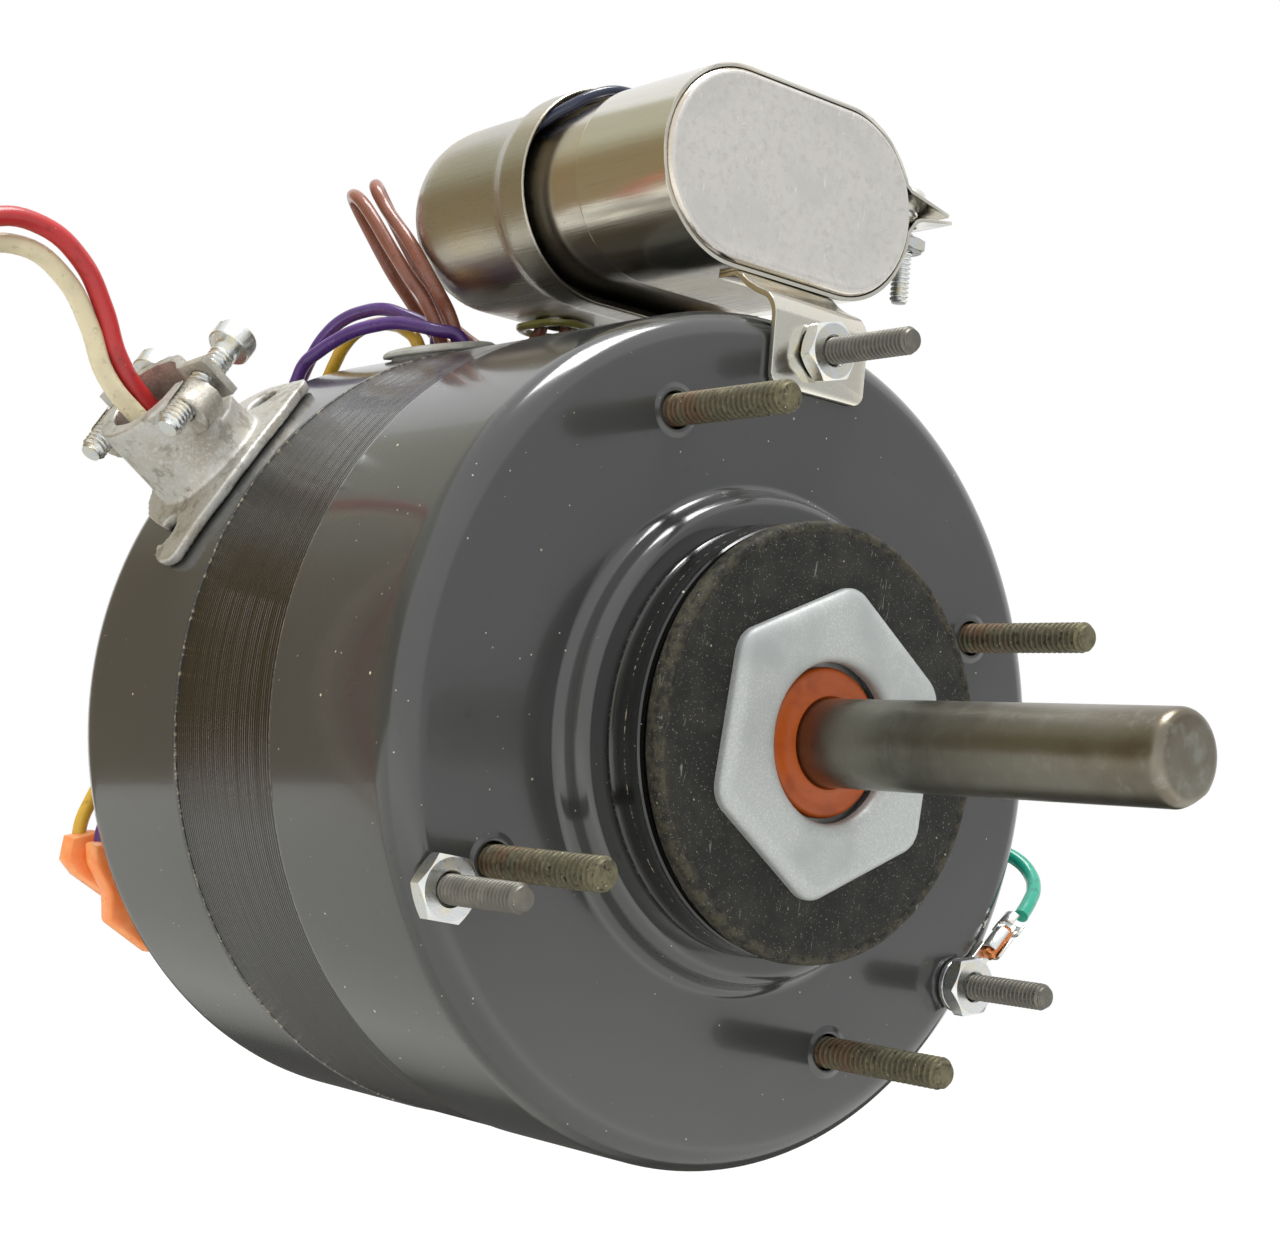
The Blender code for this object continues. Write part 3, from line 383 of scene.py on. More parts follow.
class Look:
    """A node material that is put together step by step."""

    def __init__(self, name, colour, roughness, metallic=0.0, **sockets):
        self.mat = bpy.data.materials.new(name)
        self.mat.use_nodes = True
        self.tree = self.mat.node_tree
        self.shader = self.tree.nodes["Principled BSDF"]
        self.base = (*colour, 1.0)
        self.shader.inputs["Base Color"].default_value = self.base
        self.shader.inputs["Roughness"].default_value = roughness
        self.shader.inputs["Metallic"].default_value = metallic
        for key, value in sockets.items():
            self.shader.inputs[key.replace("_", " ")].default_value = value
        self.coord = self.tree.nodes.new("ShaderNodeTexCoord").outputs["Object"]
        self.colour = None
        self.rough = None
        self.normal = None

    def node(self, kind, values=None, links=None, **props):
        """Add a shader node with its values and links."""
        made = self.tree.nodes.new(kind)
        for key, value in props.items():
            setattr(made, key, value)
        for key, value in (values or {}).items():
            made.inputs[key].default_value = value
        for key, source in (links or {}).items():
            self.tree.links.new(source, made.inputs[key])
        return made

    def stretch(self, scale, turn=(0, 0, 0)):
        """Object coordinates scaled per axis."""
        made = self.node("ShaderNodeMapping", {"Scale": scale, "Rotation": turn}, {"Vector": self.coord})
        return made.outputs["Vector"]

    def noise(self, scale, detail=3.0, rough=0.55, where=None, distortion=0.0):
        """Noise with features about 1 / scale millimetres across."""
        values = {"Scale": scale * PER_METRE, "Detail": detail, "Roughness": rough, "Distortion": distortion}
        return self.node("ShaderNodeTexNoise", values, {"Vector": where or self.coord}).outputs["Fac"]

    def cells(self, scale):
        """Distance to the nearest of many random points."""
        values = {"Scale": scale * PER_METRE}
        return self.node("ShaderNodeTexVoronoi", values, {"Vector": self.coord}).outputs["Distance"]

    def step(self, value, low, high):
        """Smooth step from 0 to 1 as a value goes from low to high."""
        values = {"From Min": low, "From Max": high}
        made = self.node("ShaderNodeMapRange", values, {"Value": value}, interpolation_type="SMOOTHSTEP")
        return made.outputs["Result"]

    def math(self, operation, a, b=None):
        """One arithmetic step on sockets or numbers."""
        made = self.node("ShaderNodeMath", operation=operation)
        for k, source in enumerate((a, b)):
            if source is None:
                continue
            if isinstance(source, (int, float)):
                made.inputs[k].default_value = source
            else:
                self.tree.links.new(source, made.inputs[k])
        return made.outputs[0]

    def both(self, a, b):
        """Product of two masks."""
        return self.math("MULTIPLY", a, b)

    def axis(self, name):
        """One object coordinate, in metres."""
        return self.node("ShaderNodeSeparateXYZ", None, {"Vector": self.coord}).outputs[name]

    def paint(self, mask, colour):
        """Lay a colour over what is there, where the mask is 1."""
        made = self.node("ShaderNodeMix", data_type="RGBA")
        if self.colour is None:
            made.inputs["A"].default_value = self.base
        else:
            self.tree.links.new(self.colour, made.inputs["A"])
        made.inputs["B"].default_value = (*colour, 1.0)
        self.tree.links.new(mask, made.inputs["Factor"])
        self.colour = made.outputs["Result"]

    def cloud(self, grain, span, colour):
        """Paint soft patches: where a noise, given by its arguments, passes through a span."""
        self.paint(self.step(self.noise(*grain), *span), colour)

    def dust(self, scale, size, amount, colour):
        """Paint small specks: cell centres, kept where a coarse noise is high."""
        dots = self.step(self.cells(scale), size, size * 0.55)
        sparse = self.step(self.noise(scale * 0.6, 2.0), 1 - amount, 1 - amount + 0.04)
        self.paint(self.both(dots, sparse), colour)

    def part(self, mask, share, colour):
        """Paint a colour with only a share of a mask."""
        self.paint(self.both(mask, share), colour)

    def field(self, source):
        """A socket as it is, or the noise that a tuple of arguments describes."""
        return self.noise(*source) if isinstance(source, tuple) else source

    def dull(self, source, low, high):
        """Roughness from low to high with a socket or a noise."""
        links = {"Value": self.field(source)}
        self.rough = self.node("ShaderNodeMapRange", {"To Min": low, "To Max": high}, links).outputs["Result"]

    def bump(self, source, depth):
        """Relief of a given depth in millimetres from a socket or a noise."""
        values = {"Strength": 1.0, "Distance": depth * MM}
        links = {"Height": self.field(source)}
        if self.normal is not None:
            links["Normal"] = self.normal
        self.normal = self.node("ShaderNodeBump", values, links).outputs["Normal"]

    def done(self):
        """Link what was painted and return the material."""
        for key, source in (("Base Color", self.colour), ("Roughness", self.rough), ("Normal", self.normal)):
            if source is not None:
                self.tree.links.new(source, self.shader.inputs[key])
        return self.mat


def tinted(colour, factor):
    """A colour made lighter or darker."""
    return tuple(c * factor for c in colour)


DUST = (0.72, 0.64, 0.46)


def enamel(name, colour, rough, edges):
    """Glossy grey enamel with dust specks and worn edges at the given y, in mm."""
    look = Look(name, colour, rough, 0.0, IOR=1.62, Coat_Weight=0.35, Coat_Roughness=0.06)
    look.cloud((0.03, 2.0), (0.4, 0.7), tinted(colour, 1.12))
    look.cloud((0.4, 4.0), (0.62, 0.8), tinted(colour, 0.8))
    look.dust(0.24, 0.062, 0.47, DUST)
    look.dust(0.55, 0.085, 0.45, (0.5, 0.46, 0.34))
    y = look.axis("Y")
    for edge, width, low in edges:
        away = look.math("ABSOLUTE", look.math("SUBTRACT", y, edge * MM))
        near = look.step(away, width * MM, 0.3 * width * MM)
        chips = look.step(look.noise(1.3, 4.0, 0.7), low, low + 0.14)
        look.paint(look.both(near, chips), (0.42, 0.37, 0.27))
    look.dull((0.08, 3.0), rough * 0.8, rough * 1.3)
    look.bump((0.45, 2.0), 0.012)
    return look.done()


def bright_zinc():
    """Bright zinc plate with a little yellow and blue passivation."""
    rough = 0.26
    look = Look("bright_zinc", (0.74, 0.76, 0.76), rough, 1.0)
    look.cloud((0.5, 2.0), (0.45, 0.7), (0.78, 0.74, 0.62))
    look.cloud((0.9, 3.0), (0.6, 0.75), (0.6, 0.68, 0.72))
    look.dust(0.9, 0.1, 0.42, (0.3, 0.3, 0.28))
    look.dull((1.2, 3.0), rough * 0.75, rough * 1.5)
    look.bump((2.5, 2.0), 0.012)
    return look.done()


def cast_zinc():
    """Grey die casting with a sandy skin and darker stains."""
    look = Look("cast_zinc", (0.6, 0.59, 0.55), 0.42, 0.85)
    look.cloud((0.12, 3.0), (0.42, 0.68), (0.5, 0.46, 0.38))
    look.cloud((1.8, 4.0), (0.45, 0.75), (0.68, 0.68, 0.66))
    look.cloud((0.25, 5.0, 0.7), (0.52, 0.62), (0.4, 0.38, 0.33))
    look.dust(0.7, 0.12, 0.42, (0.16, 0.15, 0.13))
    look.dull((0.5, 4.0), 0.3, 0.62)
    look.bump((2.0, 5.0, 0.7), 0.12)
    return look.done()


def plate_zinc():
    """Dull grainy zinc of the pressed plate."""
    look = Look("plate_zinc", (0.44, 0.46, 0.45), 0.5, 0.35)
    look.cloud((3.2, 2.0, 0.7), (0.45, 0.72), (0.56, 0.58, 0.565))
    look.cloud((0.08, 3.0), (0.45, 0.7), (0.38, 0.4, 0.395))
    look.dust(1.4, 0.16, 0.42, (0.36, 0.37, 0.36))
    look.dull((2.0, 3.0), 0.36, 0.6)
    look.bump((3.2, 2.0, 0.7), 0.03)
    return look.done()


def tinned(name, colour, rough, streak):
    """Bright tinned steel with drawing lines along the can."""
    look = Look(name, colour, rough, 1.0)
    lines = look.noise(1.0, 4.0, 0.7, look.stretch((2.2, 0.05, 2.2)))
    look.paint(look.step(lines, 0.5, 0.75), tinted(colour, 0.86))
    look.cloud((0.05, 3.0), (0.45, 0.7), tuple(c * f for c, f in zip(colour, (1.04, 0.98, 0.88))))
    look.dust(0.5, 0.09, 0.4, tinted(colour, 0.45))
    look.dull(lines, rough * 0.8, rough * 1.35)
    look.bump(lines, streak)
    return look.done()


def can_face():
    """Matte blasted end of the can: fine pits and faint streaks that run out from its middle."""
    look = Look("can_face", (0.64, 0.62, 0.59), 0.4, 0.8)
    grain = look.noise(0.7, 5.0, 0.75)
    look.paint(look.step(grain, 0.45, 0.7), (0.55, 0.53, 0.505))
    look.cloud((3.4, 3.0, 0.75), (0.55, 0.75), (0.7, 0.69, 0.66))
    look.cloud((0.09, 3.0), (0.45, 0.75), (0.58, 0.565, 0.54))
    for turn in (0.3, 1.1, 2.0, 2.8):
        nicks = look.noise(1.5, 2.0, 0.6, look.stretch((1.0, 1.0, 0.2), (0, turn, 0)))
        look.part(look.step(nicks, 0.68, 0.76), 0.5, (0.86, 0.84, 0.8))
    look.dust(0.5, 0.08, 0.46, (0.86, 0.84, 0.78))
    look.dust(0.34, 0.07, 0.38, (0.27, 0.26, 0.24))
    look.dull((2.0, 4.0), 0.32, 0.58)
    look.bump((2.8, 4.0, 0.75), 0.05)
    look.bump(grain, 0.04)
    return look.done()


def lamination():
    """Dark varnished stack with fine lines round it."""
    coat = {"IOR": 1.6, "Coat_Weight": 0.3, "Coat_Roughness": 0.05}
    look = Look("stack_varnish", (0.005, 0.0038, 0.0024), 0.09, 0.0, **coat)
    lines = look.noise(1.0, 5.0, 0.75, look.stretch((0.012, 2.4, 0.012)))
    look.paint(look.step(lines, 0.5, 0.72), (0.012, 0.0095, 0.007))
    look.cloud((0.06, 3.0), (0.5, 0.75), (0.009, 0.0072, 0.0054))
    look.dust(0.3, 0.06, 0.37, (0.4, 0.36, 0.28))
    look.dull(lines, 0.08, 0.16)
    look.bump(lines, 0.012)
    return look.done()


def rubber():
    """Dusty black rubber, browner towards its rim, with painted shade on its back inside the cup."""
    look = Look("ring_rubber", (0.0125, 0.0125, 0.0108), 0.66, 0.0, Specular_IOR_Level=0.3)
    radius = look.node("ShaderNodeVectorMath", None, operation="LENGTH")
    flat = look.stretch((1, 0, 1))
    look.tree.links.new(flat, radius.inputs[0])
    r = radius.outputs["Value"]
    cloud = look.step(look.noise(0.16, 5.0, 0.65), 0.44, 0.66)
    look.part(cloud, 0.5, (0.032, 0.031, 0.025))
    patches = look.step(look.noise(0.7, 5.0, 0.7), 0.38, 0.6)
    rim = look.both(look.step(r, 29.4 * MM, 30.4 * MM), patches)
    look.part(rim, 0.7, (0.07, 0.062, 0.038))
    look.dust(0.5, 0.1, 0.44, (0.3, 0.29, 0.24))
    look.dust(1.1, 0.17, 0.5, (0.15, 0.145, 0.12))
    look.dust(2.2, 0.24, 0.56, (0.13, 0.125, 0.105))
    hairs = look.noise(1.1, 4.0, 0.6, look.stretch((1.0, 1.0, 0.18), (0, 0.7, 0)), 1.2)
    look.part(look.step(hairs, 0.66, 0.72), 0.7, (0.22, 0.22, 0.19))
    # Painted shade: the ring's back, inside the cup, is made darker.
    back = look.step(look.axis("Y"), -12.6 * MM, -12.0 * MM)
    look.paint(back, (0.008, 0.008, 0.007))
    look.dull((0.5, 4.0), 0.5, 0.85)
    look.bump((0.9, 5.0, 0.7), 0.09)
    return look.done()


def shaft_steel():
    """Ground shaft: fine lines round it and brown oxide patches."""
    look = Look("shaft_steel", (0.25, 0.24, 0.20), 0.26, 1.0)
    lines = look.noise(1.0, 4.0, 0.7, look.stretch((0.05, 2.6, 0.05)))
    look.cloud((0.045, 4.0, 0.6), (0.42, 0.66), (0.185, 0.16, 0.12))
    look.cloud((0.25, 4.0, 0.65), (0.5, 0.72), (0.29, 0.285, 0.245))
    look.paint(look.step(lines, 0.55, 0.8), (0.2, 0.19, 0.16))
    look.dust(0.4, 0.06, 0.38, (0.6, 0.58, 0.52))
    look.dull((0.3, 4.0), 0.24, 0.42)
    look.bump(lines, 0.02)
    return look.done()


def old_thread():
    """Through bolt: rust at the root, olive grime along the thread, black spots."""
    look = Look("old_thread", (0.10, 0.092, 0.058), 0.45, 0.6)
    y = look.axis("Y")
    look.cloud((0.8, 5.0, 0.7), (0.48, 0.7), (0.2, 0.18, 0.11))
    rust = look.both(look.step(y, -13 * MM, -4 * MM), look.step(look.noise(0.3, 3.0), 0.35, 0.6))
    look.part(rust, 0.6, (0.13, 0.06, 0.028))
    tip = look.both(look.step(y, -20 * MM, -23.5 * MM), look.step(look.noise(0.7, 4.0), 0.35, 0.6))
    look.part(tip, 0.6, (0.2, 0.18, 0.1))
    look.cloud((1.1, 5.0, 0.7), (0.56, 0.66), (0.03, 0.027, 0.02))
    look.dust(1.3, 0.16, 0.42, (0.55, 0.53, 0.42))
    look.dull((0.8, 4.0), 0.3, 0.75)
    look.bump((1.6, 4.0, 0.7), 0.06)
    return look.done()


def phosphate():
    """Grey-brown phosphated steel."""
    look = Look("phosphate", (0.15, 0.145, 0.125), 0.42, 0.75)
    look.cloud((0.4, 4.0), (0.45, 0.7), (0.2, 0.185, 0.155))
    look.dust(1.0, 0.12, 0.42, (0.42, 0.4, 0.34))
    look.dull((1.0, 4.0), 0.34, 0.55)
    look.bump((2.2, 3.0), 0.03)
    return look.done()


def pvc(name, colour, dirt, rough=0.3):
    """Wire insulation: soft mottling, grime and small nicks."""
    look = Look(name, colour, rough, 0.0, Coat_Weight=0.25, Coat_Roughness=0.12)
    look.cloud((0.12, 3.0), (0.4, 0.7), tinted(colour, 0.8))
    look.part(look.step(look.noise(0.7, 4.0), 0.56, 0.72), 0.55, dirt)
    look.dust(0.9, 0.1, 0.4, tuple(min(1.0, c * 0.6 + 0.3) for c in colour))
    look.dull((0.6, 3.0), rough * 0.75, rough * 1.5)
    look.bump((0.8, 3.0), 0.03)
    return look.done()


def slinger_orange():
    """Moulded orange rubber of the oil slinger."""
    look = Look("slinger_orange", (0.40, 0.075, 0.006), 0.3, 0.0, Specular_IOR_Level=0.35)
    look.cloud((0.3, 4.0), (0.45, 0.7), (0.32, 0.056, 0.005))
    look.dust(0.8, 0.1, 0.4, (0.75, 0.4, 0.2))
    look.dull((1.6, 4.0), 0.28, 0.5)
    look.bump((3.0, 3.0), 0.03)
    return look.done()


def soft_orange():
    """Translucent orange of the terminal sleeves."""
    glow = {"Subsurface_Weight": 0.5, "Subsurface_Scale": 0.004}
    look = Look("insulator_orange", (0.95, 0.28, 0.07), 0.28, 0.0, **glow)
    look.shader.inputs["Subsurface Radius"].default_value = (1.0, 0.35, 0.12)
    look.cloud((0.15, 3.0), (0.4, 0.7), (0.98, 0.42, 0.16))
    look.dust(0.6, 0.1, 0.38, (0.7, 0.2, 0.08))
    look.dull((0.5, 3.0), 0.2, 0.42)
    look.bump((0.4, 3.0), 0.1)
    return look.done()


def plain(name, colour, rough, metallic, spot):
    """Finish of a hidden piece: mottled base and a second tone."""
    look = Look(name, colour, rough, metallic)
    look.cloud((0.3, 4.0), (0.42, 0.68), spot)
    look.dull((0.6, 3.0), rough * 0.8, min(1.0, rough * 1.3))
    look.bump((1.2, 3.0), 0.04)
    return look.done()


GREY = (0.041, 0.0425, 0.0412)
ENAMEL_FRONT = enamel("enamel_front", GREY, 0.17, ((31.38, 0.22, 0.44),))
ENAMEL_REAR = enamel("enamel_rear", GREY, 0.17, ((58.32, 0.16, 0.5),))
ENAMEL_CUP = enamel("enamel_cup", (0.009, 0.009, 0.0085), 0.16, ((-4.6, 0.14, 0.5), (-7.6, 0.14, 0.5)))
VARNISH = lamination()
ZINC = bright_zinc()
CAST = cast_zinc()
PLATE = plate_zinc()
CAN_SIDE = tinned("can_side", (0.66, 0.62, 0.56), 0.17, 0.02)
STRAP_STEEL = tinned("strap_steel", (0.7, 0.68, 0.61), 0.14, 0.015)
BOOT_STEEL = tinned("boot_steel", (0.5, 0.48, 0.42), 0.27, 0.03)
CAN_FACE = can_face()
RUBBER = rubber()
SHAFT_STEEL = shaft_steel()
OLD_THREAD = old_thread()
PHOSPHATE = phosphate()
SLINGER = slinger_orange()
INSULATOR = soft_orange()
RED = pvc("pvc_red", (0.5, 0.018, 0.02), (0.2, 0.01, 0.01), 0.34)
CREAM_PVC = pvc("pvc_cream", (0.72, 0.64, 0.42), (0.3, 0.25, 0.14), 0.36)
BROWN = pvc("pvc_brown", (0.25, 0.085, 0.05), (0.12, 0.04, 0.03), 0.24)
PURPLE = pvc("pvc_purple", (0.09, 0.03, 0.2), (0.03, 0.012, 0.06), 0.26)
YELLOW = pvc("pvc_yellow", (0.72, 0.43, 0.035), (0.35, 0.2, 0.02), 0.28)
BLUE = pvc("pvc_blue", (0.012, 0.018, 0.05), (0.02, 0.02, 0.025), 0.2)
GREEN = pvc("pvc_green", (0.012, 0.36, 0.24), (0.01, 0.14, 0.1), 0.24)
NYLON = plain("nylon", (0.42, 0.42, 0.38), 0.45, 0.0, (0.34, 0.33, 0.29))
LINER = pvc("liner", (0.3, 0.28, 0.07), (0.06, 0.06, 0.02), 0.2)
COPPER = plain("copper", (0.72, 0.27, 0.1), 0.32, 1.0, (0.5, 0.16, 0.05))
BRONZE = plain("bronze", (0.45, 0.3, 0.15), 0.5, 0.8, (0.3, 0.2, 0.1))
ALUMINIUM = plain("aluminium", (0.6, 0.6, 0.6), 0.45, 0.9, (0.48, 0.48, 0.47))
CORE_STEEL = plain("core_steel", (0.12, 0.115, 0.11), 0.5, 0.7, (0.2, 0.14, 0.1))
GROMMET_RUBBER = plain("grommet_rubber", (0.03, 0.03, 0.03), 0.6, 0.0, (0.06, 0.058, 0.05))


# ---------------------------------------------------------------- camera and cords

CAMERA_AT = (-228.195, -246.969, -36.911)
CAMERA_RIGHT = (0.74575635, -0.64580698, 0.16364844)
CAMERA_UP = (-0.22286801, -0.01034636, 0.97479372)
CAMERA_LENS = 64.364
SENSOR_WIDTH = 36.0


def camera():
    """The photo's viewpoint, worked out from the outlines of the round parts."""
    data = bpy.data.cameras.new("camera")
    data.lens = CAMERA_LENS
    data.sensor_width = SENSOR_WIDTH
    data.sensor_fit = "HORIZONTAL"
    data.clip_start = 0.01
    data.clip_end = 50.0
    obj = bpy.data.objects.new("camera", data)
    bpy.context.scene.collection.objects.link(obj)
    right, up = Vector(CAMERA_RIGHT), Vector(CAMERA_UP)
    back = right.cross(up)
    turn = Matrix((right, up, back)).transposed().to_4x4()
    obj.matrix_world = Matrix.Translation(Vector(CAMERA_AT) * MM) @ turn
    bpy.context.scene.camera = obj


LEAD_R = 1.55
LEAD_END_Z = -138.0
LEAD_STEP = 8.2


def leads():
    """The two supply leads: out of the clamp, over in an arch and down under their own weight."""
    red = [in_clamp(61.0, 1.5, 0.8), in_clamp(70.0, 1.5, 2.4), in_clamp(77.5, 1.2, 3.6)]
    red += [(-72.2, 79.0, 43.0), (-74.8, 78.9, 47.0), (-77.9, 78.5, 51.4), (-82.0, 77.8, 55.9)]
    red += [(-87.7, 77.0, 59.0), (-93.7, 77.0, 59.8), (-99.5, 77.0, 57.8), (-103.8, 77.0, 52.6)]
    red += [(-106.0, 77.0, 45.0), (-107.0, 77.0, 30.0), (-107.0, 77.0, 0.0), (-107.0, 77.0, -60.0)]
    red += [(-107.0, 77.0, LEAD_END_Z)]
    cream = [in_clamp(61.0, -1.9, 0.8), in_clamp(70.0, -1.9, 2.2), in_clamp(78.5, -2.0, 3.3)]
    cream += [(-75.0, 79.2, 41.4), (-77.8, 79.4, 46.1), (-81.2, 79.2, 50.6), (-85.8, 78.8, 54.2)]
    cream += [(-91.8, 79.0, 56.2), (-97.2, 80.0, 55.2), (-101.0, 81.0, 51.2), (-102.8, 81.6, 45.0)]
    cream += [(-103.4, 82.0, 36.0), (-103.4, 82.0, 10.0), (-103.4, 82.0, -60.0)]
    cream += [(-103.4, 82.0, LEAD_END_Z + 4)]
    for name, route, side, mat in (("red_lead", red, 1.5, RED), ("cream_lead", cream, -1.9, CREAM_PVC)):
        line, total = spaced(route, LEAD_STEP)
        lead = tube(name, line, LEAD_R, mat, resolution=8)
        lead.name = name + "_insulation"
        stands_for(name)
        strands(name, line)


def strands(name, line):
    """The stripped end of a lead: a short twist of bare copper."""
    end, way = line[-1], (line[-1] - line[-2]).normalized()
    side = way.orthogonal().normalized()
    other = way.cross(side)
    loops = []
    for k in range(16):
        h = -4.4 + 0.35 * k
        loop = []
        for j in range(28):
            a = 2 * math.pi * j / 28
            r = 0.72 + 0.14 * math.cos(7 * a + 0.7 * k)
            r *= 1.0 if k < 14 else 1.0 - 0.25 * (k - 13)
            loop.append(end + way * h + (side * math.cos(a) + other * math.sin(a)) * r)
        loops.append(loop)
    return stacked(name + "_strands", loops, COPPER)


# ---------------------------------------------------------------- shell


AT_GROMMET = radial(110.0, 68.0)
AT_GREEN = radial(-4.0, 66.0)
GROMMET_R = 8.4
GREEN_GROMMET_R = 3.6


def front_bell():
    """Drawn front bell with a raised shoulder, its holes, and a rolled rim round each bolt hole."""
    corner_r, corner_y = BODY_R - 4.5, 4.5
    inner = BODY_R - SHELL_T
    end = STACK_START - SEAM
    outside = [(BODY_R - 0.22, end), (BODY_R - 0.06, end - 0.06), (BODY_R, end - 0.25), (BODY_R, end - 0.8)]
    outside += [(BODY_R, 20.0), (BODY_R, 8.0), (BODY_R, 5.4)]
    outside += arc(corner_r, corner_y, 4.5, 0, -90, 16)
    outside += [(58.2, 0), (56.0, 0), (50.0, 0), (44.0, 0), (39.4, 0), (38.5, 0)]
    outside += arc(38.0, -1.8, 1.8, 90, 160, 7)
    outside += arc(33.9, -2.0, 2.2, -12, -90, 9)
    outside += [(33.4, -4.2), (30.0, -4.2), (NOSE_R, -4.2)]
    outside += [(NOSE_R, NOSE_FRONT + 0.8), (NOSE_R - 0.8, NOSE_FRONT)]
    inside = [(12.2, NOSE_FRONT), (12.2, NOSE_FRONT + SHELL_T), (NOSE_R - SHELL_T, NOSE_FRONT + SHELL_T)]
    inside += [(NOSE_R - SHELL_T, -2.6), (33.4, -2.6), (36.8, SHELL_T)]
    inside += arc(corner_r, corner_y, 4.5 - SHELL_T, -90, 0, 6)
    inside += [(inner, end)]
    wall = outside + inside
    bell = turned("front_bell_shell", wall, ON_SHAFT, ENAMEL_FRONT, steps=ROUND_STEPS, closed=True)
    cutters = [cutter(BOLT_R + BOLT_GAP, axial(polar(BOLT_CIRCLE_R, a)), -3, 4) for a in BOLT_ANGLES]
    cutters += [cutter(STUD_R + STUD_GAP, axial(polar(STUD_CIRCLE_R, a)), -3, 5) for a in STUD_ANGLES]
    cut(bell, cutters)
    stands_for("front_bell")
    for k, angle in enumerate(BOLT_ANGLES, 1):
        lip = [(BOLT_GAP, 0.5), (BOLT_GAP, -0.1), (0.45, -0.22), (0.65, -0.28), (0.95, -0.22)]
        lip += [(1.3, -0.08), (1.8, 0.03), (1.8, 0.5)]
        profile = [(BOLT_R + out, y) for out, y in lip]
        place = axial(polar(BOLT_CIRCLE_R, angle))
        rim = turned(f"bolt_hole_rim_{k}", profile, place, ENAMEL_FRONT, closed=True)


def rear_bell():
    """Plain rear bell with a small hub, a bead and the holes for bolts, clamp and wires."""
    edge = BODY_END - 6.0
    inner = BODY_R - SHELL_T
    start = STACK_END + SEAM
    outside = [(6.0, REAR_HUB_END - 0.5), (6.6, REAR_HUB_END), (REAR_HUB_R - 2.2, REAR_HUB_END)]
    outside += arc(REAR_HUB_R - 1.8, REAR_HUB_END - 1.8, 1.8, 90, 0, 6)
    outside += arc(REAR_HUB_R + 1.8, BODY_END + 1.8, 1.8, 180, 270, 6)
    outside += [(30.0, BODY_END), (33.0, BODY_END - 0.15), (34.5, BODY_END - 0.7), (37.0, BODY_END - 0.7)]
    outside += [(38.5, BODY_END - 0.15), (41.0, BODY_END), (56.6, BODY_END)]
    outside += arc(BODY_R - 6.0, edge, 6.0, 90, 0, 14)
    outside += [(BODY_R, edge - 1.0), (BODY_R, 70.0), (BODY_R, start + 0.8), (BODY_R, start + 0.25)]
    outside += [(BODY_R - 0.06, start + 0.06), (BODY_R - 0.22, start)]
    inside = [(inner, start)]
    inside += arc(BODY_R - 6.0, edge, 6.0 - SHELL_T, 0, 90, 6)
    inside += [(REAR_HUB_R + 1.2, BODY_END - SHELL_T), (REAR_HUB_R - SHELL_T, BODY_END + 0.8)]
    inside += [(REAR_HUB_R - SHELL_T, REAR_HUB_END - SHELL_T), (2.0, REAR_HUB_END - SHELL_T)]
    bell = turned("rear_bell_shell", outside + inside, ON_SHAFT, ENAMEL_REAR, steps=ROUND_STEPS)
    clamp_frame = lambda a, b, h: in_clamp(h, a, b)
    cutters = [cutter(BOLT_R + BOLT_GAP, axial(polar(BOLT_CIRCLE_R, a)), 86, 94) for a in BOLT_ANGLES]
    for r, place in ((8.6, clamp_frame), (GROMMET_R, AT_GROMMET), (GREEN_GROMMET_R, AT_GREEN)):
        cutters.append(cutter(r, place, 55, 70))
    cut(bell, cutters)
    stands_for("rear_bell")




def lamination_stack():
    """Pressed sheets, each with its own edge radius."""
    rng = random.Random(4)
    sheets = 44
    low, high = STACK_START + 0.12, STACK_END - 0.12
    pitch = (high - low) / sheets
    profile = [(57.0, low)]
    for k in range(sheets):
        r = BODY_R - 0.17 + rng.uniform(-0.005, 0.005)
        y = low + k * pitch
        profile += [(r - 0.03, y), (r, y + 0.07 * pitch), (r, y + 0.93 * pitch)]
    profile += [(BODY_R - 0.2, high), (57.0, high)]
    crisp = math.radians(60)
    stack = turned("lamination_band", profile, ON_SHAFT, VARNISH, steps=ROUND_STEPS, closed=True, sharp=crisp)
    stands_for("stator_core")


# ---------------------------------------------------------------- hub and shaft


def hub():
    """Steel cup, resilient ring, hexagonal plate and oil slinger."""
    seat = NOSE_R + 0.3
    cup = [(seat, -4.45), (30.9, -4.45), (31.35, -4.4), (31.6, -4.6), (31.62, -4.9), (31.35, -5.3)]
    cup += [(31.2, -6.2), (31.1, -8.4), (31.15, -9.9), (31.42, -10.35), (31.45, -10.65), (31.2, -10.9)]
    cup += [(30.5, -10.95), (30.2, -10.7), (30.2, -7.8), (seat, -7.8)]
    ring = turned("ring_cup_steel", cup, ON_SHAFT, ENAMEL_CUP, steps=ROUND_STEPS, closed=True)
    stands_for("ring_cup")
    rubber_ring()
    hex_plate()
    bore = SHAFT_R + 0.02
    slinger = [(bore, -13.6), (bore, -15.5), (6.7, -15.85), (7.3, -15.8), (7.9, -15.5), (8.4, -15.3)]
    slinger += [(9.0, -15.25), (9.8, -15.38), (10.3, -15.3), (10.65, -15.0), (10.8, -14.6)]
    slinger += [(10.8, -14.0), (10.5, -13.6)]
    disc = turned("slinger_disc", slinger, ON_SHAFT, SLINGER, "rotor", 96, True)
    stands_for("oil_slinger")


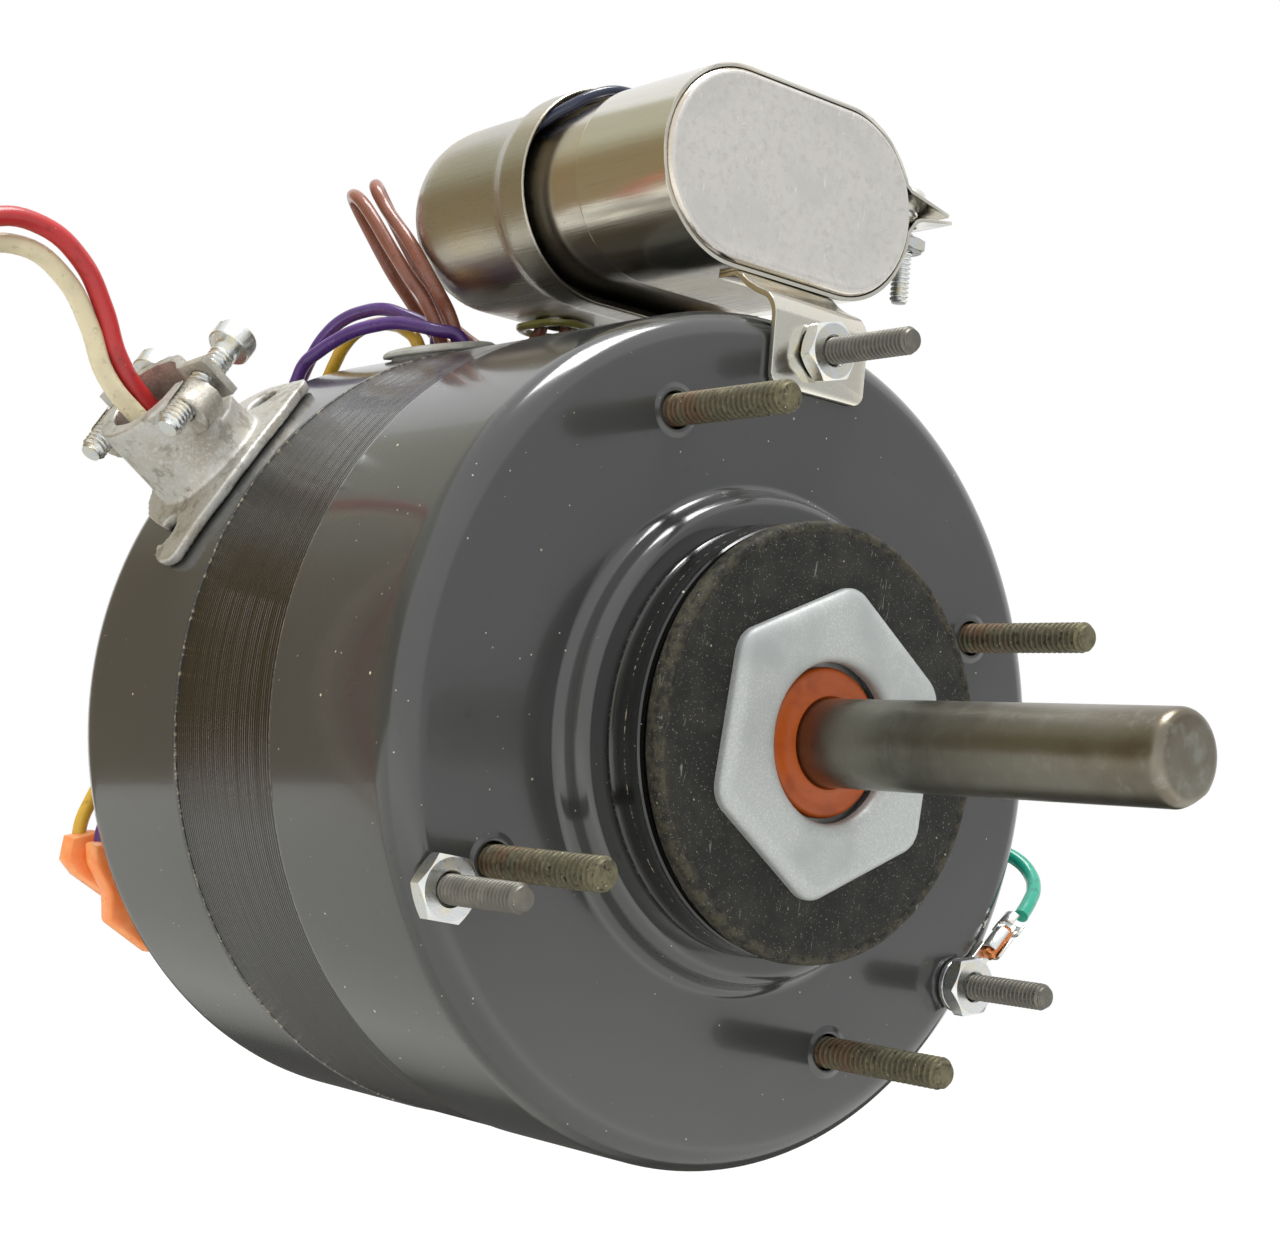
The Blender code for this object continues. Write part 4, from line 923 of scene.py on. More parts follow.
def rubber_ring():
    """Moulded ring: groove, flange with a ragged flash edge, and an uneven face."""
    rows = [(NOSE_R + 0.3, -8.1, 0), (30.1, -8.1, 0.0), (30.1, -11.0, 0.02), (30.3, -11.6, 0.03)]
    rows += [(30.9, -12.2, 0.04), (31.45, -12.5, 0.05), (31.7, -12.85, 0.06), (31.66, -14.2, 0.07)]
    rows += [(31.55, -14.75, 0.12), (31.25, -15.12, 0.14), (30.85, -15.24, 0.12), (30.5, -15.18, 0.08)]
    rows += [(30.25, -14.92, 0.07), (30.0, -14.9, 0.06), (29.75, -15.12, 0.06), (29.2, -15.22, 0.05)]
    rows += [(28.0, -15.25, 0.05), (26.5, -15.22, 0.05), (25.0, -15.25, 0.05), (22.5, -15.27, 0.0)]
    rows += [(17.5, -15.28, 0), (17.5, -15.22, 0), (NOSE_R + 0.3, -15.22, 0)]
    steps = 288
    loops = []
    for r, y, rough in rows:
        loop = []
        for k in range(steps):
            a, b = polar(1, 360 * k / steps)
            bump = noise.noise(Vector((a * 9, y * 0.5, b * 9)))
            bump += 0.6 * noise.noise(Vector((a * 26, y, b * 26)))
            rr = min(r + bump * rough, RING_R)
            loop.append((a * rr, max(y + bump * rough * 0.6, RING_FRONT), b * rr))
        loops.append(loop)
    ring = stacked("rubber_ring_moulding", loops, RUBBER, closed=True, sharp=math.radians(50))
    stands_for("rubber_ring")


def hex_plate():
    """Pressed plate: hexagon with round corners, rolled outer edge and rolled bore."""
    centre_r, fillet = PLATE_CORNER_R - 5.2, 4.5

    def outline(inset):
        points = []
        for k in range(6):
            cx, cz = polar(centre_r, 30 + 60 * k)
            nx, nz = polar(centre_r, 90 + 60 * k)
            points += arc(cx, cz, fillet - inset, 60 * k, 60 + 60 * k, 10)
            side = polar(fillet - inset, 60 + 60 * k)
            for s in range(1, 8):
                points.append((cx + (nx - cx) * s / 8 + side[0], cz + (nz - cz) * s / 8 + side[1]))
        return points

    def bore(r, y):
        return [(r * x / math.hypot(x, z), y, r * z / math.hypot(x, z)) for x, z in base]

    base = outline(0.0)
    back = RING_FRONT + 0.02
    roll = 1.55
    loops = [[(x, back, z) for x, z in base]]
    for k in range(9):
        a = math.radians(90 * k / 8)
        y = PLATE_FRONT + (roll - 0.1) * (1 - math.sin(a))
        loops.append([(x, y, z) for x, z in outline(2.3 * (1 - math.cos(a)))])
    loops.append([(x, PLATE_FRONT, z) for x, z in outline(2.8)])
    for k in range(10):
        a = math.radians(90 - 90 * max(0, k - 1) / 8)
        r = PLATE_HOLE_R + 2.2 * (1 - math.cos(a)) + (0.6 if k == 0 else 0.0)
        y = PLATE_FRONT + (roll - 0.1) * (1 - math.sin(a))
        loops.append(bore(r, y))
    loops.append(bore(PLATE_HOLE_R, back))
    plate = stacked("hex_plate_pressing", loops, PLATE, closed=True)
    stands_for("hex_plate")


def shaft():
    """Steel shaft with a rounded end and a flat ground on one side."""
    end = [(2.2, 0.0), (4.7, 0.0), (5.15, 0.04), (5.6, 0.2), (5.95, 0.5), (6.2, 0.92), (6.32, 1.35)]
    end += [(SHAFT_R, 1.8), (SHAFT_R, 2.6)]
    profile = [(r, SHAFT_TIP + h) for r, h in end]
    profile += [(SHAFT_R, -40.0), (SHAFT_R, 20.0), (SHAFT_R, 91.0), (5.6, 92.6)]
    rod = turned("shaft_rod", profile, ON_SHAFT, SHAFT_STEEL, "rotor", 96)
    angle = math.radians(-55.0)
    out, side = (math.cos(angle), math.sin(angle)), (-math.sin(angle), math.cos(angle))
    flat = SHAFT_R - 0.9
    corners = [(flat, -9), (flat + 6, -9), (flat + 6, 9), (flat, 9)]
    place = lambda a, b, h: Vector((out[0] * a + side[0] * b, h, out[1] * a + side[1] * b))
    cut(rod, [prism("flat_cut", corners, place, SHAFT_TIP - 2, SHAFT_TIP + 12)])
    stands_for("shaft")


# ---------------------------------------------------------------- fasteners


def fasteners():
    """Through bolts with their heads, and studs with their nuts."""
    for k, angle in enumerate(BOLT_ANGLES, 1):
        place = axial(polar(BOLT_CIRCLE_R, angle))
        tail = ((BOLT_R, BODY_END + 1.0),)
        shank = (BOLT_R, BOLT_PITCH, BOLT_TIP, 4.0, 6.0)
        bolt = threaded(f"bolt_shank_{k}", place, *shank, OLD_THREAD, tail=tail)
        stands_for(f"through_bolt_{k}")
        seat, top = BODY_END + 0.05, BODY_END + 3.6
        head = nut(f"bolt_head_{k}", place, 8.0, 1.2, angle, top, seat, PHOSPHATE, chamfer_back=False)
    for k, (angle, tip, (turn, back)) in enumerate(zip(STUD_ANGLES, STUD_TIPS, NUT_SEATS), 1):
        place = axial(polar(STUD_CIRCLE_R, angle))
        stud = threaded(f"stud_{k}", place, STUD_R, STUD_PITCH, tip, 4.0, 9.0, PHOSPHATE)
        stands_for(f"mounting_stud_{k}")
        piece = nut(f"hex_nut_{k}", place, NUT_FLATS, STUD_R + 0.06, turn, back - NUT_T, back, ZINC)
        stands_for(f"stud_nut_{k}")


# ---------------------------------------------------------------- capacitor


def oval(grow, y, steps=28, straight=6):
    """A closed line round the capacitor, grown by a margin, at one y."""
    r = CAP_R + grow
    points = arc(CAP_U + CAP_HALF, CAP_V, r, -90, 90, steps)
    points += [(CAP_U + CAP_HALF - 2 * CAP_HALF * k / straight, CAP_V + r) for k in range(1, straight)]
    points += arc(CAP_U - CAP_HALF, CAP_V, r, 90, 270, steps)
    points += [(CAP_U - CAP_HALF + 2 * CAP_HALF * k / straight, CAP_V - r) for k in range(1, straight)]
    return [in_cap(u, v, y) for u, v in points]


def second_material(obj, mat, test):
    """Give a second material to the faces whose middle, in millimetres, passes a test."""
    obj.data.materials.append(mat)
    index = len(obj.data.materials) - 1
    for face in obj.data.polygons:
        if test(face.center / MM):
            face.material_index = index


def can():
    """Drawn can with a rolled front edge and a blasted front face."""
    rows = [(-11.0, 6.75), (-8.0, 6.74), (-5.0, 6.72), (-3.2, 6.7), (-2.2, 6.62), (-1.6, 6.5)]
    bend = (0.0, 0.2, 0.4, 0.6, 0.8, 1.0, 1.2, 1.4)
    rows += [(-1.25 + 1.25 * math.sin(a), 6.45 + 1.3 * (1 - math.cos(a))) for a in bend]
    rows += [(0.0, 7.9), (0.0, 10.0), (0.0, 30.0), (0.0, 56.6), (-0.3, 57.4), (-1.0, 57.9), (-3.0, 58.0)]
    piece = stacked("capacitor_shell", [oval(g, y) for g, y in rows], CAN_SIDE)
    second_material(piece, CAN_FACE, lambda p: p.y < 6.76)
    stands_for("capacitor_can")


def boot():
    """Steel boot over the back of the can, with a flared rim and a lined opening underneath."""
    rim = [(2.3, 39.1), (2.42, 38.92), (2.62, 38.9), (2.76, 39.05), (2.79, 39.4)]
    outside = rim + [(2.75, 40.2), (2.75, 43.6), (2.72, 44.4), (2.6, 45.3), (2.2, 46.2), (1.7, 47.2)]
    outside += [(1.35, 48.2), (1.2, 49.4), (1.18, 55.0), (1.1, 62.0), (1.0, 66.5), (0.7, 69.2)]
    outside += [(0.1, 71.4), (-0.9, 73.4), (-2.2, 75.0), (-3.8, 76.1), (-6.0, 76.8), (-9.0, 77.0)]
    inside = [(-9.0, 76.3), (-6.0, 76.1), (-3.0, 74.6), (-0.9, 72.0), (0.3, 67.0), (0.4, 50.0)]
    inside += [(0.4, 46.0), (0.5, 42.4), (0.9, 41.2), (1.7, 40.3), (2.2, 39.6)]
    loops = [oval(g, y) for g, y in outside + inside]
    n = len(loops[0])
    end = (len(outside) - 1) * n
    verts = [p for loop in loops for p in loop]
    faces = grid_faces(len(loops), n, True)
    caps = [tuple(range(end, end + n)), tuple(range(end + n, end + 2 * n))]
    faces = faces[:end] + caps + faces[end + n :]
    shell = make("boot_shell", verts, faces, BOOT_STEEL)

    def slot_line(r):
        return arc(-1.0, 66.5, r, 0, 180, 16) + arc(-1.0, 61.5, r, 180, 360, 16)

    up = lambda u, y, v: in_cap(u, v, y)
    cut(shell, [prism("window_cut", slot_line(4.0), up, 4.0, 18.0)])
    stands_for("capacitor_boot")
    low = CAP_V - CAP_R - 1.1
    lip = [(3.45, 0.3), (3.5, 0.95), (3.8, 1.25), (4.3, 1.32), (4.9, 1.2), (5.25, 0.9), (5.3, 0.3)]
    loops = [[up(x, y, low - drop) for x, y in slot_line(r)] for r, drop in lip]
    ring = stacked("window_lip", loops, LINER, closed=True)
    stands_for("boot_liner")


def offset_line(line, thickness):
    """The other side of a sheet that follows a flat line."""
    pts = [Vector(p) for p in line]
    other = []
    for k, p in enumerate(pts):
        before = (p - pts[k - 1]).normalized() if k else (pts[1] - p).normalized()
        after = (pts[k + 1] - p).normalized() if k < len(pts) - 1 else before
        normal = Vector((before.y + after.y, -before.x - after.x)).normalized()
        stretch = 1 / max(0.4, normal.dot(Vector((before.y, -before.x))))
        other.append(p + normal * thickness * stretch)
    return pts, other


def rounded(points, radius, steps=5):
    """A flat line with its inner corners rounded off."""
    pts = [Vector(p) for p in points]
    line = [pts[0]]
    for a, b, c in zip(pts, pts[1:], pts[2:]):
        reach = min(radius, (a - b).length * 0.48, (c - b).length * 0.48)
        p, q = b + (a - b).normalized() * reach, b + (c - b).normalized() * reach
        for k in range(steps + 1):
            s = k / steps
            line.append(p * (1 - s) ** 2 + b * 2 * s * (1 - s) + q * s * s)
    line.append(pts[-1])
    return line


def ear_screw(a, b, h):
    """The frame of the screw through the strap's two ears."""
    return in_cap(CAP_U + CAP_LENGTH / 2 + 5.6 + a, CAP_V + h, 13.5 + b)


def strap():
    """Strap round the can, open at two ears that a screw pulls together."""
    r = CAP_R + 0.08
    right = CAP_U + CAP_HALF
    left = CAP_U - CAP_HALF
    low_ear = right + r

    def ear(points, radius):
        return rounded([(low_ear + u, CAP_V + v) for u, v in points], radius)

    line = ear([(10.0, 3.0), (1.9, 1.6), (0.1, -0.8)], 1.4)
    line += arc(right, CAP_V, r, -7, -90, 26)
    line += [(right - 2 * CAP_HALF * k / 8, CAP_V - r) for k in range(1, 8)]
    line += arc(left, CAP_V, r, 270, 90, 48)
    line += [(left + 2 * CAP_HALF * k / 8, CAP_V + r) for k in range(1, 8)]
    line += arc(right, CAP_V, r, 90, 24, 18)
    line += ear([(-0.9, 5.4), (1.0, 5.1), (9.2, 3.4)], 1.0)[1:]
    inner, outer = offset_line(line, -STRAP_T)
    outline = inner + outer[::-1]
    rows = [STRAP_FRONT, STRAP_FRONT + 0.35, STRAP_FRONT + 0.7, 17.0]
    rows += [STRAP_BACK - 0.7, STRAP_BACK - 0.35, STRAP_BACK]
    loops = []
    for y in rows:
        loop = []
        for k, (u, v) in enumerate(outline):
            wave = 0.09 * noise.noise(Vector((u * 0.6, v * 0.6, 3.0 if y < 17 else 9.0)))
            loop.append(in_cap(u, v, y + (wave if y in (rows[0], rows[-1]) else 0.0)))
        loops.append(loop)
    band = stacked("strap_band", loops, STRAP_STEEL)
    cut(band, [cutter(2.0, ear_screw, -15, 25)])
    soften(band, 0.16)
    stands_for("capacitor_strap")
    tongue()


def tongue():
    """Bracket under the strap: out past the can's edge, down in an S and flat against the bell."""
    under = CAP_V - CAP_R - 0.9
    foot_y, foot_z, width, sheet = -1.3, -6.6, 9.8, 0.9
    line = [(12.0, under + 0.35), (7.4, under + 0.35), (5.6, under - 1.5), (2.9, under - 3.0)]
    line += [(0.2, under - 4.0), (foot_y, under - 6.4), (foot_y, foot_z)]
    inner, outer = offset_line(rounded(line, 1.9, 7), -sheet)
    corner = 2.2
    loops = []
    for a, b in zip(inner, outer):
        above = a.y - foot_z
        half = width
        if above < corner:
            half = width - (corner - math.sqrt(max(0.0, corner**2 - (corner - above) ** 2)))
        lean = 0.35 * max(0.0, (a.y - 2.0)) / 10
        left, right = -half - lean, half - lean
        loops.append([in_cap(u, p.y, p.x) for u, p in ((left, a), (right, a), (right, b), (left, b))])
    foot = [Vector(p) for p in arc(0, corner, corner, -90, 0, 6)]
    loops.pop()
    front, back = foot_y, -0.4
    for p in reversed(foot[:-1]):
        shrink, rise = corner - p.x, p.y
        ends = ((-width, front), (width, front), (width, back), (-width, back))
        loops.append([in_cap(u * (width - shrink) / width, foot_z + rise, y) for u, y in ends])
    piece = stacked("strap_bracket", loops, STRAP_STEEL)
    place = lambda a, b, h: Vector((a, h, STUD_CIRCLE_R + b))
    cut(piece, [cutter(STUD_R + STUD_GAP, place, -6, 4)])
    soften(piece, 0.2)


def strap_fastener():
    """Round-head screw and nut through the strap's ears."""
    tail = ((1.6, 6.1), (3.0, 6.12), (3.1, 6.3), (3.1, 6.9), (2.9, 7.5), (2.4, 8.0), (1.6, 8.35), (0.6, 8.5))
    shank = (1.6, STUD_PITCH, -11.0, 3.5, 5.0)
    screw = threaded("ear_screw", ear_screw, *shank, ZINC, tail=tail, steps=24, cone=0.5)
    stands_for("strap_screw")
    piece = nut("ear_nut", ear_screw, 6.4, 1.68, 0.0, -0.3, -2.4, ZINC)
    stands_for("strap_nut")


# ---------------------------------------------------------------- cable clamp


def on_shell(r, s, y):
    """A point of the clamp's curved flange: s round the shell, y along it, before the clamp's turn."""
    cosine, sine = math.cos(CLAMP_TWIST), math.sin(CLAMP_TWIST)
    angle = (s * cosine - y * sine) / BODY_R
    p = _out * (r * math.cos(angle)) + _round * (r * math.sin(angle))
    return Vector((p.x, CLAMP_Y + s * sine + y * cosine, p.z))


def clamp():
    """Die-cast cable clamp: flange with a broken lower edge, open body, bosses, bar and two screws."""
    clamp_casting()
    clamp_bar()


def clamp_casting():
    """Flange sections run round the shell; each has its near and far edge along Y."""
    sections = [(-20.6, -4.6, -2.6), (-20.2, -5.6, -1.2), (-19.2, -6.4, -0.2), (-17.0, -7.6, 0.8)]
    sections += [(-15.2, -8.5, 1.0), (-13.4, -9.5, 1.6), (-12.0, -10.2, 4.6), (-10.0, -11.2, 8.0)]
    sections += [(-7.0, -12.0, 10.2), (-4.0, -12.6, 11.4), (0, -12.8, 12.0), (5.0, -12.4, 12.0)]
    sections += [(10.0, -11.2, 10.8), (15.0, -8.8, 8.6), (18.6, -7.0, 6.6)]
    sections += [(20.4, -5.8, 5.2), (21.2, -4.4, 3.8)]
    loops = []
    for s, near, far in sections:
        corners = [(BODY_R + 0.25, near + (far - near) * k / 4) for k in range(5)]
        corners += [(BODY_R + 2.1, far + (near - far) * k / 4) for k in range(5)]
        loops.append([on_shell(r, s, y) for r, y in corners])
    body = stacked("clamp_casting", loops, CAST)
    out = lambda a, b, h: in_clamp(h, a, b)
    across = lambda a, b, h: in_clamp(a, h, b)
    tube_line = [(9.9, 64.6), (9.6, 68.0), (9.6, CLAMP_TOP)]
    add = [turned("tube", tube_line, out, None, steps=48, show=False)]
    add.append(turned("spigot", [(8.1, 57.0), (8.1, 65.0)], out, None, steps=40, show=False))
    take = [cutter(6.9, out, 50.0, 90.0, 48)]
    side = [(71.0, -19.0), (91.0, -19.0), (91.0, 19.0), (71.0, 19.0)]
    take.append(prism("mouth", side, across, 0.6, 20.0))
    for dy in (-CLAMP_SCREW_DY, CLAMP_SCREW_DY):
        boss = circle(3.7, (CLAMP_SCREW_N - 1.4, dy), start=3)
        hole = circle(STUD_R + SCREW_GAP, (CLAMP_SCREW_N, dy))
        add.append(prism("boss", boss, across, -4.4, 0.9))
        take.append(prism("hole", hole, across, -12.0, 12.0))
    for s, y in ((-14.6, -0.4), (15.6, 0.0)):
        slot_hole = [(s + a * 1.25, y + b) for a, b in circle(2.2, steps=24)]
        take.append(prism("flange_hole", slot_hole, out, 50.0, 70.0))
    cut(body, add, "UNION")
    cut(body, take)
    cast(body, 0.34, 5)
    body.data.materials.clear()
    body.data.materials.append(CAST)
    stands_for("clamp_body")


def clamp_bar():
    """Arched bar across the clamp's mouth, and its two slotted screws."""
    half = [(1.2, 5.7), (3.2, 5.4), (4.8, 4.6), (6.0, 3.4), (6.9, 2.5), (8.2, 2.2), (14.0, 2.2)]
    inner, outer = offset_line([(-y, t) for y, t in reversed(half)] + half, -1.4)
    flat = [(p.x, p.y) for p in inner] + [(p.x, p.y) for p in outer[::-1]]
    along = lambda y, t, n: in_clamp(n, t, y)
    bar = prism("clamp_strap", flat, along, 73.5, 80.7, CAST)
    holes = []
    for k, dy in enumerate((-CLAMP_SCREW_DY, CLAMP_SCREW_DY), 1):
        place = screw_frame(dy)
        holes.append(cutter(STUD_R + SCREW_GAP, place, -2, 12))
        tail = ((3.3, 9.82), (3.5, 10.0), (3.5, 12.5), (3.38, 12.85), (3.1, 13.02), (2.4, 13.05))
        shank = (STUD_R, STUD_PITCH, -8.6, 8.2, 9.8)
        screw = threaded(f"clamp_fastener_{k}", place, *shank, ZINC, tail=tail, steps=32, cone=0.9)
        slit = [(-4.0, -0.45), (4.0, -0.45), (4.0, 0.45), (-4.0, 0.45)]
        cut(screw, [prism("slit", slit, place, 11.9, 14.0)])
        stands_for(f"clamp_screw_{k}")
    cut(bar, holes)
    soften(bar, 0.3, 3)
    stands_for("clamp_bar")


def screw_frame(dy):
    """The frame of one clamp screw, whose axis runs round the shell."""
    return lambda a, b, h: in_clamp(CLAMP_SCREW_N + a, h, dy + b)


# ---------------------------------------------------------------- wires and their ends


def bushing(name, node, place, hole_r, bore_r, mat):
    """A bushing with a groove that the shell's edge sits in and rounded lips."""
    low, high = BODY_R - SHELL_T, BODY_R
    lip = hole_r + 1.2
    dip = lip * lip / 2 / BODY_R
    under = [(bore_r, 1.4), (bore_r + 0.4, 1.85), (lip - 0.5, 1.85), (lip, 1.4)]
    under += [(lip, 0.3), (hole_r - 0.2, 0.3)]
    over = [(hole_r - 0.2, 0.1), (lip - 0.1, 0.1), (lip, 0.35), (lip - 0.2, 0.8), (lip - 0.8, 1.2)]
    over += [(bore_r + 0.7, 1.45), (bore_r + 0.2, 1.3), (bore_r, 0.8)]
    profile = [(r, low - h - dip) for r, h in under] + [(r, high + h) for r, h in over]
    piece = turned(name, profile, place, mat, closed=True, steps=64)
    stands_for(node)


WIRE_R = 1.15
KNOT_STEP = 4.0


def exit_points(a, b):
    """First points of a wire through the big bushing, a round the shell and b along it."""
    return [AT_GROMMET(a, b - 0.5, h) for h in (54.5, 60.0, 65.2)]


def jumpers():
    """Thin wires from the shell to the capacitor and to the joined pair behind the shell."""
    routes = {}
    route = exit_points(0.9, 1.0) + [(-23.7, 72.0, 68.7), (-27.6, 74.0, 73.1), (-31.0, 77.6, 78.9)]
    route += [(-33.0, 81.2, 83.6), (-33.4, 84.8, 86.2), (-31.0, 89.4, 87.2), (-25.4, 91.6, 83.6)]
    route += [(-17.0, 91.2, 75.8), (-6.0, 89.4, 68.0), in_cap(1.4, 6.6, 79.0), in_cap(0.9, 6.6, 70.0)]
    routes["brown_wire_1"] = (route + [in_cap(0.9, 8.8, 64.4), in_cap(0.9, 13.0, 63.0)], WIRE_R, BROWN)
    route = exit_points(4.0, 0.6) + [(-20.8, 69.2, 67.6), (-25.2, 69.7, 72.1), (-28.3, 73.1, 77.9)]
    route += [(-29.8, 79.6, 84.0), (-30.9, 82.8, 88.0), (-28.6, 86.2, 89.6), (-23.0, 88.4, 86.0)]
    route += [(-15.0, 88.0, 78.0), (-9.0, 86.4, 71.4), in_cap(-2.8, 8.0, 81.0), in_cap(-2.4, 7.0, 74.0)]
    route += [in_cap(-2.3, 7.8, 69.0), in_cap(-2.3, 10.4, 66.4)]
    routes["brown_wire_2"] = (route + [in_cap(-2.3, 13.4, 65.8)], WIRE_R, BROWN)
    route = exit_points(1.6, 3.5) + [(-18.9, 75.4, 65.6), (-21.4, 80.0, 67.7), (-24.6, 85.0, 68.8)]
    route += [(-28.2, 90.0, 66.3), (-29.9, 93.4, 62.0), (-30.4, 96.6, 55.6), (-30.5, 99.5, 47.0)]
    route += [(-30.0, 101.5, 30.0), (-32.0, 102.0, 10.0), (-37.0, 101.6, -12.0), (-41.4, 100.6, -26.0)]
    routes["purple_wire_1"] = (route + [(-42.0, 100.5, -33.0)], WIRE_R, PURPLE)
    route = exit_points(2.2, -3.7) + [(-23.2, 65.0, 62.6), (-25.9, 68.2, 63.2), (-28.5, 73.5, 63.7)]
    route += [(-31.8, 80.0, 61.9), (-33.4, 86.0, 59.0), (-34.0, 90.6, 56.2), (-34.0, 93.2, 50.0)]
    route += [(-36.4, 94.6, 40.0), (-41.0, 95.0, 22.0), (-45.5, 95.2, 0.0), (-49.0, 95.4, -18.0)]
    routes["purple_wire_2"] = (route + [(-51.4, 95.6, -28.6), (-50.8, 95.6, -32.0)], WIRE_R, PURPLE)
    route = exit_points(-2.2, 3.2) + [(-25.2, 74.0, 63.4), (-25.6, 80.0, 65.2), (-27.2, 85.0, 64.4)]
    route += [(-27.8, 89.4, 61.0), (-27.4, 93.0, 55.6), (-28.6, 96.6, 47.0), (-34.0, 99.4, 28.0)]
    route += [(-42.0, 100.2, 4.0), (-47.6, 100.4, -12.0), (-51.2, 100.5, -21.0)]
    routes["yellow_wire"] = (route + [(-52.9, 100.5, -27.4), (-52.6, 100.5, -31.0)], WIRE_R, YELLOW)
    blue = []
    bends = [(-1, 150, 43.0), (-1, 141, 39.5), (-1, 131, 36.4), (-1, 116, 34.8), (-1, 92, 34.2)]
    bends += [(1, 88, 34.2), (1, 66, 34.8), (1, 52, 36.6), (1, 40, 40.0), (1, 33, 43.0)]
    for side, angle, y in bends:
        u, v = polar(CAP_R + 1.25, angle)
        blue.append(in_cap(CAP_U + side * CAP_HALF + u, CAP_V + v, y))
    routes["blue_wire"] = (blue, 0.9, BLUE)
    green = [AT_GREEN(0, 0, h) for h in (55.0, 61.0, 66.4)] + [(68.8, 63.2, -4.8), (69.2, 57.0, -4.9)]
    green += [(68.0, 40.0, -5.0), (67.6, 25.0, -5.2), (68.6, 14.0, -5.6), (70.2, 8.4, -6.6)]
    green += [(70.5, 5.0, -8.4), (69.6, 2.0, -10.9), (66.4, -0.4, -13.9), (63.0, -1.8, -17.0)]
    routes["green_wire"] = (green, 1.2, GREEN)
    for name, (points, r, mat) in routes.items():
        wire = tube(name + "_insulation", spaced(points, KNOT_STEP)[0], r, mat)
        stands_for(name)


def insulators():
    """Two soft sleeves over the joined terminals behind the shell."""
    upper = [(-55.0, -29.6), (-50.6, -27.9), (-49.2, -30.6), (-38.0, -35.4), (-40.0, -41.0), (-52.6, -35.6)]
    lower = [(-53.4, -30.2), (-49.4, -28.9), (-46.0, -33.0), (-38.0, -37.6), (-36.0, -44.4), (-39.4, -46.2)]
    lower += [(-47.6, -42.4), (-48.8, -37.6), (-52.6, -33.2)]
    upper += [(-55.0, -33.6)]
    edge = ((0, 0.7), (0.25, 0.92), (1.2, 1.0))
    for k, (outline, low, high) in enumerate(((upper, 98.4, 102.6), (lower, 93.5, 97.7)), 1):
        mid_x, mid_z = [sum(p[i] for p in outline) / len(outline) for i in (0, 1)]
        rows = [(low + d, s) for d, s in edge] + [(high - d, s) for d, s in reversed(edge)]
        loops = []
        for y, s in rows:
            loops.append([(mid_x + (x - mid_x) * s, y, mid_z + (z - mid_z) * s) for x, z in outline])
        sleeve = stacked(f"terminal_sleeve_{k}", loops, INSULATOR)
        soften(sleeve, 0.55, 4, 25)
        stands_for(f"terminal_insulator_{k}")


def ground_terminal():
    """Ring terminal: ring under the nut, neck, open conductor crimp with copper, and insulation grip."""
    x0, z0 = polar(STUD_CIRCLE_R, STUD_ANGLES[2])
    out = Vector((*polar(1, 50.0), 0)).xzy
    side = Vector((-out.z, 0, out.x))
    centre = Vector((x0, 0, z0))
    place = lambda a, b, h: centre + out * a + side * b + Vector((0, h, 0))
    outline = [polar(4.3, 26 + 308 * k / 40) for k in range(41)]
    outline += [(5.4, -1.5), (8.6, -1.6), (8.6, 1.6), (5.4, 1.5)]
    ring = prism("terminal_ring", outline, place, -1.2, -0.3, ZINC)
    cut(ring, [cutter(STUD_R + STUD_GAP, axial((x0, z0)), -4, 4)])
    soften(ring, 0.15)
    stands_for("ground_terminal")
    axis_y = -2.0
    barrels = (("conductor_crimp", 7.8, 12.2, 1.75, 24), ("insulation_grip", 13.4, 15.6, 1.95, 36))
    along = lambda a, b, h: place(h, a, axis_y + b)
    for name, start, end, r, gap in barrels:
        arc_points = [polar(r, a) for a in (270 + gap + (360 - 2 * gap) * k / 30 for k in range(31))]
        inner_r = r - 0.42
        back = [(a * inner_r / r, b * inner_r / r) for a, b in reversed(arc_points)]
        crimp = prism("terminal_" + name, arc_points + back, along, start, end, ZINC)
        soften(crimp, 0.12)
    link = [(-1.1, 1.38), (1.1, 1.38), (1.1, 1.8), (-1.1, 1.8)]
    web = prism("terminal_web", link, along, 11.8, 13.8, ZINC)
    loops = []
    for h, scale in ((6.9, 0.6), (7.1, 0.95), (7.6, 1.0), (12.6, 1.0), (13.2, 0.8)):
        loop = []
        for k in range(36):
            a = 2 * math.pi * k / 36
            r = scale * (1.12 + 0.1 * math.cos(6 * a + h))
            loop.append(place(h, r * math.cos(a), axis_y + r * math.sin(a)))
        loops.append(loop)
    conductor = stacked("terminal_copper", loops, COPPER)


HIDDEN = {
    BRONZE: ("front_bearing", "rear_bearing"),
    ALUMINIUM: ("rotor_fan_front", "rotor_fan_rear", "front_bearing_seat", "rear_bearing_seat"),
    CORE_STEEL: ("rotor_core", "thrust_collar_front", "thrust_collar_rear"),
    COPPER: ("winding_front", "winding_rear"),
    ZINC: ("capacitor_terminal_1", "capacitor_terminal_2", "clamp_locknut"),
}


def hidden_parts():
    """Give the hidden CAD nodes that stay in use their materials."""
    for mat, names in HIDDEN.items():
        for name in names:
            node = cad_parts[name]
            node.data.materials.clear()
            node.data.materials.append(mat)


# ---------------------------------------------------------------- studio

FLOOR_Z_M = -0.22


def surface(name, colour, emission=0.0):
    """A plain studio material, matte or glowing."""
    mat = bpy.data.materials.new(name)
    mat.use_nodes = True
    shader = mat.node_tree.nodes["Principled BSDF"]
    shader.inputs["Base Color"].default_value = (*colour, 1.0)
    shader.inputs["Roughness"].default_value = 0.8
    if emission:
        shader.inputs["Base Color"].default_value = (0, 0, 0, 1.0)
        shader.inputs["Emission Color"].default_value = (*colour, 1.0)
        shader.inputs["Emission Strength"].default_value = emission
    return mat


